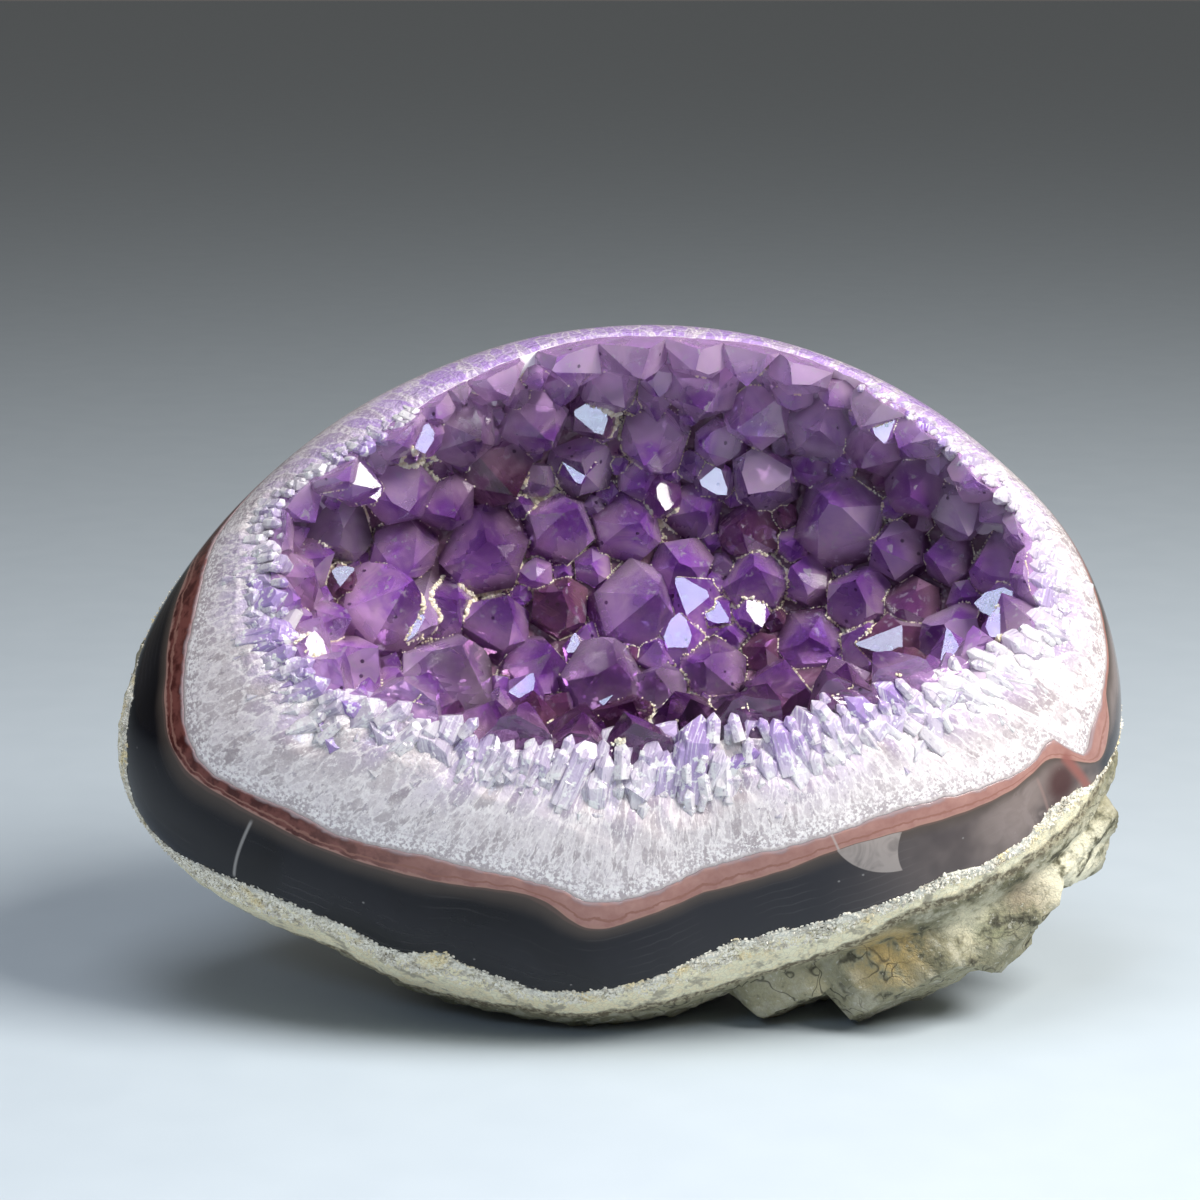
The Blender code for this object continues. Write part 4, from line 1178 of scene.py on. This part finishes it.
# painted light: high on the stone the points are made paler, standing for light shining through its
# thin top edge; the paleness near the rim above is the cut points' own colour
top = times(spread(part(coords, "Z"), 0.098, 0.120, 0.0, 0.9), spread(tipness, 1.0, 0.3))
colour = blend(sums("MAXIMUM", pale, top), colour, (0.97, 0.70, 1.0))
wisps = times(spread(flaws, 0.56, 0.66), spread(veil, 0.44, 0.60))
colour = blend(times(wisps, 0.75), colour, (0.90, 0.82, 0.96))
# the points are darkened in these round patches, low in the middle and at the upper left
for right, up, radius in DARKER_PATCHES:
    middle = on_dome(*seen_on_dome(right, up), lift=-20.0)
    darker_patch = times(near(coords, middle, radius), spread(veil, 0.27, 0.48, 0.6, 1.0))
    colour = blend(darker_patch, colour, blend(1.0, colour, (0.20, 0.10, 0.17), "MULTIPLY"))
dots = specks(420.0, (0.20, 0.14), (0.80, 0.84))
colour = blend(times(dots, 0.85), colour, (0.02, 0.005, 0.03))
into(shader, Base_Color=colour, Roughness=0.05, IOR=1.54, Transmission_Weight=0.7)
soak = add("ShaderNodeVolumeAbsorption", {"Color": (0.72, 0.42, 0.86, 1.0), "Density": 42.0})
tree.links.new(soak.outputs[0], tree.nodes["Material Output"].inputs["Volume"])
# the fine-grained crust that shows between the points: pale lilac near the rim, and deeper in the
# pocket a dark maroon that is painted shade in the gaps
crust_finish, shader, coords = material("amethyst_crust")
fine = cloud(coords, 700.0, 2.0, 0.6)
pale = blend(fine, (0.42, 0.28, 0.52), (0.80, 0.68, 0.88))
painted_shade_deep = blend(fine, (0.07, 0.025, 0.055), (0.26, 0.13, 0.22))
into(shader, Base_Color=blend(spread(number("from_rim"), 4.0, 16.0), pale, painted_shade_deep),
     Normal=bumps(fine, 0.6, 0.0008), Roughness=0.3)
lining.data.materials.clear()
lining.data.materials.append(violet_glass)
lining.data.materials.append(crust_finish)
for polygon in lining.data.polygons:
    if polygon.use_smooth and np.array(polygon.normal) @ POCKET_AXIS > 0.0:
        polygon.material_index = 1
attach(lining, "root")
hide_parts("amethyst_crystals")

# Crystal ends on the lip
# Clear quartz points with violet tips where the band breaks off at the pocket. They grew
# towards the pocket, stand in the unpolished lip and are ground off with the face.
LIP_ROWS = 6
LIP_WIDTH_RANGE = (1.6, 6.4)
LIP_STEP = 2.9                  # millimetres between neighbours in a row
LIP_INWARD = 4.5                # the points start this far inside the pocket's edge
LIP_LEAST = 2.2                 # no points where the lip is narrower
LIP_UNDER = 0.1                 # they stay this far under the dome


def sunk_under_face(mesh, outward, under):
    """Move a crystal in until all of it lies under the dome."""
    proud = max(over_face(np.array(v.co) / MM) for v in mesh.vertices) - 1.0
    for vert in mesh.vertices:
        vert.co = vert.co - Vector(outward * (under + max(proud, 0.0) * FRONT_BULGE) * MM)


ends = bpy.data.collections.new("ends")
bpy.context.scene.collection.children.link(ends)
chance = random.Random(33)
tint = random.Random(8)
low, high = LIP_WIDTH_RANGE
for row in range(LIP_ROWS):
    bearing = chance.uniform(0.0, 4.0)
    while bearing < 360.0:
        reach = around(pocket_pairs, bearing)
        here = on_face(bearing, reach)
        pace = np.linalg.norm(on_face(bearing + 1.0, reach) - here)
        wide = around(LIP_WIDTHS, bearing)
        out_mm = (wide + LIP_INWARD) * (row + chance.uniform(-0.6, 0.6)) / LIP_ROWS - LIP_INWARD
        per_degree = np.linalg.norm(on_face(bearing, reach + 1.0) - here)
        width = low + (high - low) * chance.random()**1.6
        width *= (1.25 - 0.6 * row / LIP_ROWS) * min(1.0, wide / 7.0)
        patch = 0.5 + 1.1 * noise.noise(Vector(here / 14.0))
        violet = min(max(0.72 - out_mm / 7.0 + chance.uniform(-0.5, 0.2), 0.0), 1.0) * patch
        at = reach + out_mm / per_degree
        tip = on_face(bearing, at, -0.30 * width - chance.uniform(0.0, 0.5) * lip_sink(bearing))
        inward = unit(on_face(bearing, at - 1.0) - on_face(bearing, at + 1.0))
        level = unit(np.cross(inward, on_face(bearing + 1.0, at) - on_face(bearing - 1.0, at)))
        level = level * np.sign(level @ (tip - CENTRE))
        stand = math.radians(chance.uniform(0.0, 20.0))
        axis = unit(math.cos(stand) * inward + math.sin(stand) * level + shaken(0.14))
        spin = chance.uniform(0, math.pi / 3)
        if wide > LIP_LEAST:
            mesh = set_point(ends, tip, axis, width, 2.4 * width, spin, violet=violet)
            sunk_under_face(mesh, level, LIP_UNDER)
        bearing += LIP_STEP * chance.uniform(0.75, 1.25) / pace * (0.8 + 0.4 * min(1.0, wide / 7.0))
for right, up, width, violet in MOUNDS:
    tip = on_dome(*seen_on_dome(right, up), lift=-0.6)
    axis = unit(unit(tip - CENTRE) + 0.55 * UP + shaken(0.15))
    mesh = set_point(ends, tip, axis, width, 0.9 * width, chance.uniform(0, math.pi / 3),
                     violet=violet)
    sunk_under_face(mesh, unit(tip - CENTRE), 0.0)
lip = ends.objects[0]
ends.objects.unlink(lip)
bpy.context.scene.collection.objects.link(lip)
joined(lip, "UNION", ends)
for made in list(ends.objects):
    bpy.data.objects.remove(made)
bpy.data.collections.remove(ends)
lip.name = "quartz_lip_points"
lip.data.shade_flat()

clear, shader, coords = material("clear_quartz")
along = add("ShaderNodeUVMap", uv_map="along").outputs[0]
height = part(along, "Y")
shade = number("shade")
streak_at = add("ShaderNodeCombineXYZ",
                {0: part(along, "X"), 1: height, 2: times(shade, 40.0)}).outputs[0]
streaks = cloud(streak_at, 2.2, 2.0, 0.65)
flaws = cloud(coords, 560.0, 2.0, 0.7)
colour = blend(shade, (0.74, 0.68, 0.75), (0.96, 0.92, 0.94))
tipped = times(spread(height, -0.7, 0.6), number("violet"))
colour = blend(times(tipped, 0.9), colour, (0.36, 0.19, 0.64))
colour = blend(times(spread(streaks, 0.46, 0.36), 0.6), colour, (0.36, 0.30, 0.46))
colour = blend(times(spread(streaks, 0.54, 0.66), 0.8), colour, (0.95, 0.92, 0.97))
colour = blend(spread(flaws, 0.55, 0.64), colour, (0.97, 0.96, 0.99))
into(shader, Base_Color=colour, Normal=bumps(flaws, 0.4, 0.0006), Roughness=0.06, IOR=1.54,
     Transmission_Weight=0.2, Subsurface_Weight=0.6, Subsurface_Scale=0.0016)
shader.inputs["Subsurface Radius"].default_value = (1.0, 1.0, 1.0)
lip.data.materials.clear()
lip.data.materials.append(clear)
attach(lip, "root")

# Clay between the crystals
# Cream crumbs of clay and iron oxide that washed into the pocket and stuck in the corners
# between the crystals.
CLAY_PLACES = [                 # right and up seen from the front, radius, how thick
    (-40, 41, 6, 1.0), (-15, 36, 5, 1.0), (-48, 10.5, 6, 1.0), (-38, 12.5, 7, 1.0),
    (-28, 14.5, 6, 0.9), (-1, 50, 5, 0.8), (-57, 22, 6, 0.8), (5, -12, 7, 0.9),
    (47, 12, 9, 0.5), (20, 8, 10, 0.4), (8, 30, 6, 0.5), (60, 2, 7, 0.5),
    (-62, 5, 5, 0.6), (79, 6, 5, 0.8), (2, 48, 5, 0.9), (8, -16, 5, 0.9),
    (30, 18, 8, 0.4), (-20, 20, 8, 0.4), (74, 18, 7, 0.4),
    (15, -4, 8, 0.4), (50, 30, 8, 0.35), (-50, 30, 7, 0.35),
]
THIN_CLAY = 0.012
LINES_FROM = 0.12               # noise above which a thin line of clay runs along the corners
CLAY_FROM_RIM = 5.0

work = bmesh.new()
work.from_mesh(lining.data)
chance = random.Random(12)
crumbs = []
for edge in work.edges:
    if len(edge.link_faces) != 2 or edge.is_convex or edge.calc_face_angle(0.0) < 0.35:
        continue
    a, b = (np.array(v.co) / MM for v in edge.verts)
    middle = 0.5 * (a + b)
    if near_edge.find(Vector(middle * MM))[2] < CLAY_FROM_RIM * MM:
        continue
    spot = seen(middle)
    thick = THIN_CLAY
    for right, up, radius, most in CLAY_PLACES:
        share = 1.0 - np.hypot(spot[0] - right, spot[1] - up) / radius
        thick = max(thick, most * min(1.0, 2.5 * max(share, 0.0)))
    thick *= 0.4 + 1.2 * max(0.0, 0.5 + noise.noise(Vector(middle / 2.6)))
    out = unit(np.array(edge.link_faces[0].normal + edge.link_faces[1].normal))
    along_line = noise.noise(Vector(middle / 5.0)) > LINES_FROM
    count = max(thick * 14.0, 5.0 if along_line or thick > 0.12 else 0.0) * np.linalg.norm(b - a)
    for _ in range(int(count + chance.random())):
        p = a + (b - a) * chance.random()
        scatter_by = np.array([chance.gauss(0, 0.25) for _ in range(3)])
        crumbs.append((p + 0.12 * out + scatter_by * min(1.0, 2 * thick),
                       chance.uniform(0.16, 0.50) * (0.45 + 0.75 * min(thick, 1.0))))
work.free()
mesh = bpy.data.meshes.new("clay_crumbs")
mesh.from_pydata([tuple(p * MM) for p, _ in crumbs], [], [])
mark(mesh, "across", [size * MM for _, size in crumbs])
clay = shown("clay_crumbs", mesh)

heap, ins, outs = group("clay_grains", "GeometryNodeTree",
                        {"Geometry": "Geometry", "Finish": "Material"},
                        {"Geometry": "Geometry"})
tree = heap
bead = add("GeometryNodeMeshIcoSphere", {"Radius": 1.0, "Subdivisions": 1})
grains = add("GeometryNodeMeshToPoints", {0: ins["Geometry"]}).outputs[0]
across = add("GeometryNodeInputNamedAttribute", {0: "across"}, data_type="FLOAT")
stretch = add("FunctionNodeRandomValue", {0: (0.7, 0.7, 0.6), 1: (1.4, 1.2, 1.0), 8: 3},
              data_type="FLOAT_VECTOR")
sized = add("ShaderNodeVectorMath",
            {0: stretch.outputs[0], "Scale": across.outputs["Attribute"]}, operation="SCALE")
spin = add("FunctionNodeRandomValue", {0: (0.0, 0.0, 0.0), 1: (6.2, 6.2, 6.2), 8: 4},
           data_type="FLOAT_VECTOR")
tree.links.new(crowd(grains, bead, spin.outputs[0], sized.outputs[0], ins["Finish"]), outs[0])

earth, shader, coords = material("cream_clay")
tone = spread(cloud(coords, 700.0, 2.0), 0.35, 0.65)
into(shader, Base_Color=blend(tone, (0.80, 0.70, 0.50), (0.97, 0.93, 0.80)), Roughness=0.85)
grown(clay, heap, Finish=earth)
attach(clay, "root")

# Table top
# A plain pale board, wider than the view on every side, with a faint cool tone.
mesh = bpy.data.meshes.new("table_top")
mesh.from_pydata([(-3, -3, 0), (3, -3, 0), (3, 5, 0), (-3, 5, 0),
                  (-3, -3, -0.02), (3, -3, -0.02), (3, 5, -0.02), (-3, 5, -0.02)], [],
                 [(0, 1, 2, 3), (7, 6, 5, 4), (0, 4, 5, 1), (1, 5, 6, 2), (2, 6, 7, 3),
                  (3, 7, 4, 0)])
table = shown("table_top", mesh)
board, shader, coords = material("table_top")
into(shader, Base_Color=blend(cloud(coords, 60.0, 1.0), (0.55, 0.63, 0.70), (0.59, 0.67, 0.74)),
     Roughness=0.45)
table.data.materials.append(board)
table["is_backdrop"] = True

# Light
# Soft daylight from the upper right, a broad fill, and two bright panels that the crystal
# faces catch.
world = bpy.data.worlds.new("studio")
bpy.context.scene.world = world
world.use_nodes = True
back = world.node_tree.nodes["Background"]
back.inputs["Color"].default_value = (0.96, 0.93, 0.88, 1.0)
back.inputs["Strength"].default_value = 0.12


def panel(name, spot, aim, size, power, colour):
    """Rectangular soft light from a spot, in metres, facing an aim."""
    light = bpy.data.lights.new(name, "AREA")
    light.shape = "RECTANGLE"
    light.size, light.size_y = size
    light.energy = power
    light.color = colour
    lamp = shown(name, light)
    lamp.location = spot
    lamp.rotation_euler = (Vector(spot) - Vector(aim)).to_track_quat("Z", "Y").to_euler()


aim = (0.0, 0.0, 0.07)          # the stone's middle
panel("key", (0.52, -0.36, 0.72), aim, (0.42, 0.42), 12.2, (1.0, 0.965, 0.91))
panel("window", (-0.30, -0.75, 0.55), aim, (0.12, 0.16), 0.85, (0.62, 0.77, 1.0))
panel("top", (-0.12, -0.25, 0.95), aim, (0.50, 0.40), 3.6, (0.90, 0.93, 1.0))

# Camera
# Seen from the front and a little above, square to the polished face.
lens = bpy.data.cameras.new("camera")
lens.lens = 105.0
lens.sensor_width = 36.0
lens.clip_start = 0.01
viewer = shown("camera", lens)
looks_at = CENTRE - 3.2 * RIGHT + 14.4 * UP
viewer.location = (looks_at + EYE_DISTANCE * FORWARD) * MM
viewer.rotation_euler = Vector(FORWARD).to_track_quat("Z", "Y").to_euler()
bpy.context.scene.camera = viewer
bpy.context.scene.view_settings.view_transform = "Standard"
bpy.context.scene.cycles.max_bounces = 6
bpy.context.scene.cycles.diffuse_bounces = 2
bpy.context.scene.cycles.glossy_bounces = 2
bpy.context.scene.cycles.transmission_bounces = 6

low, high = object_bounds()
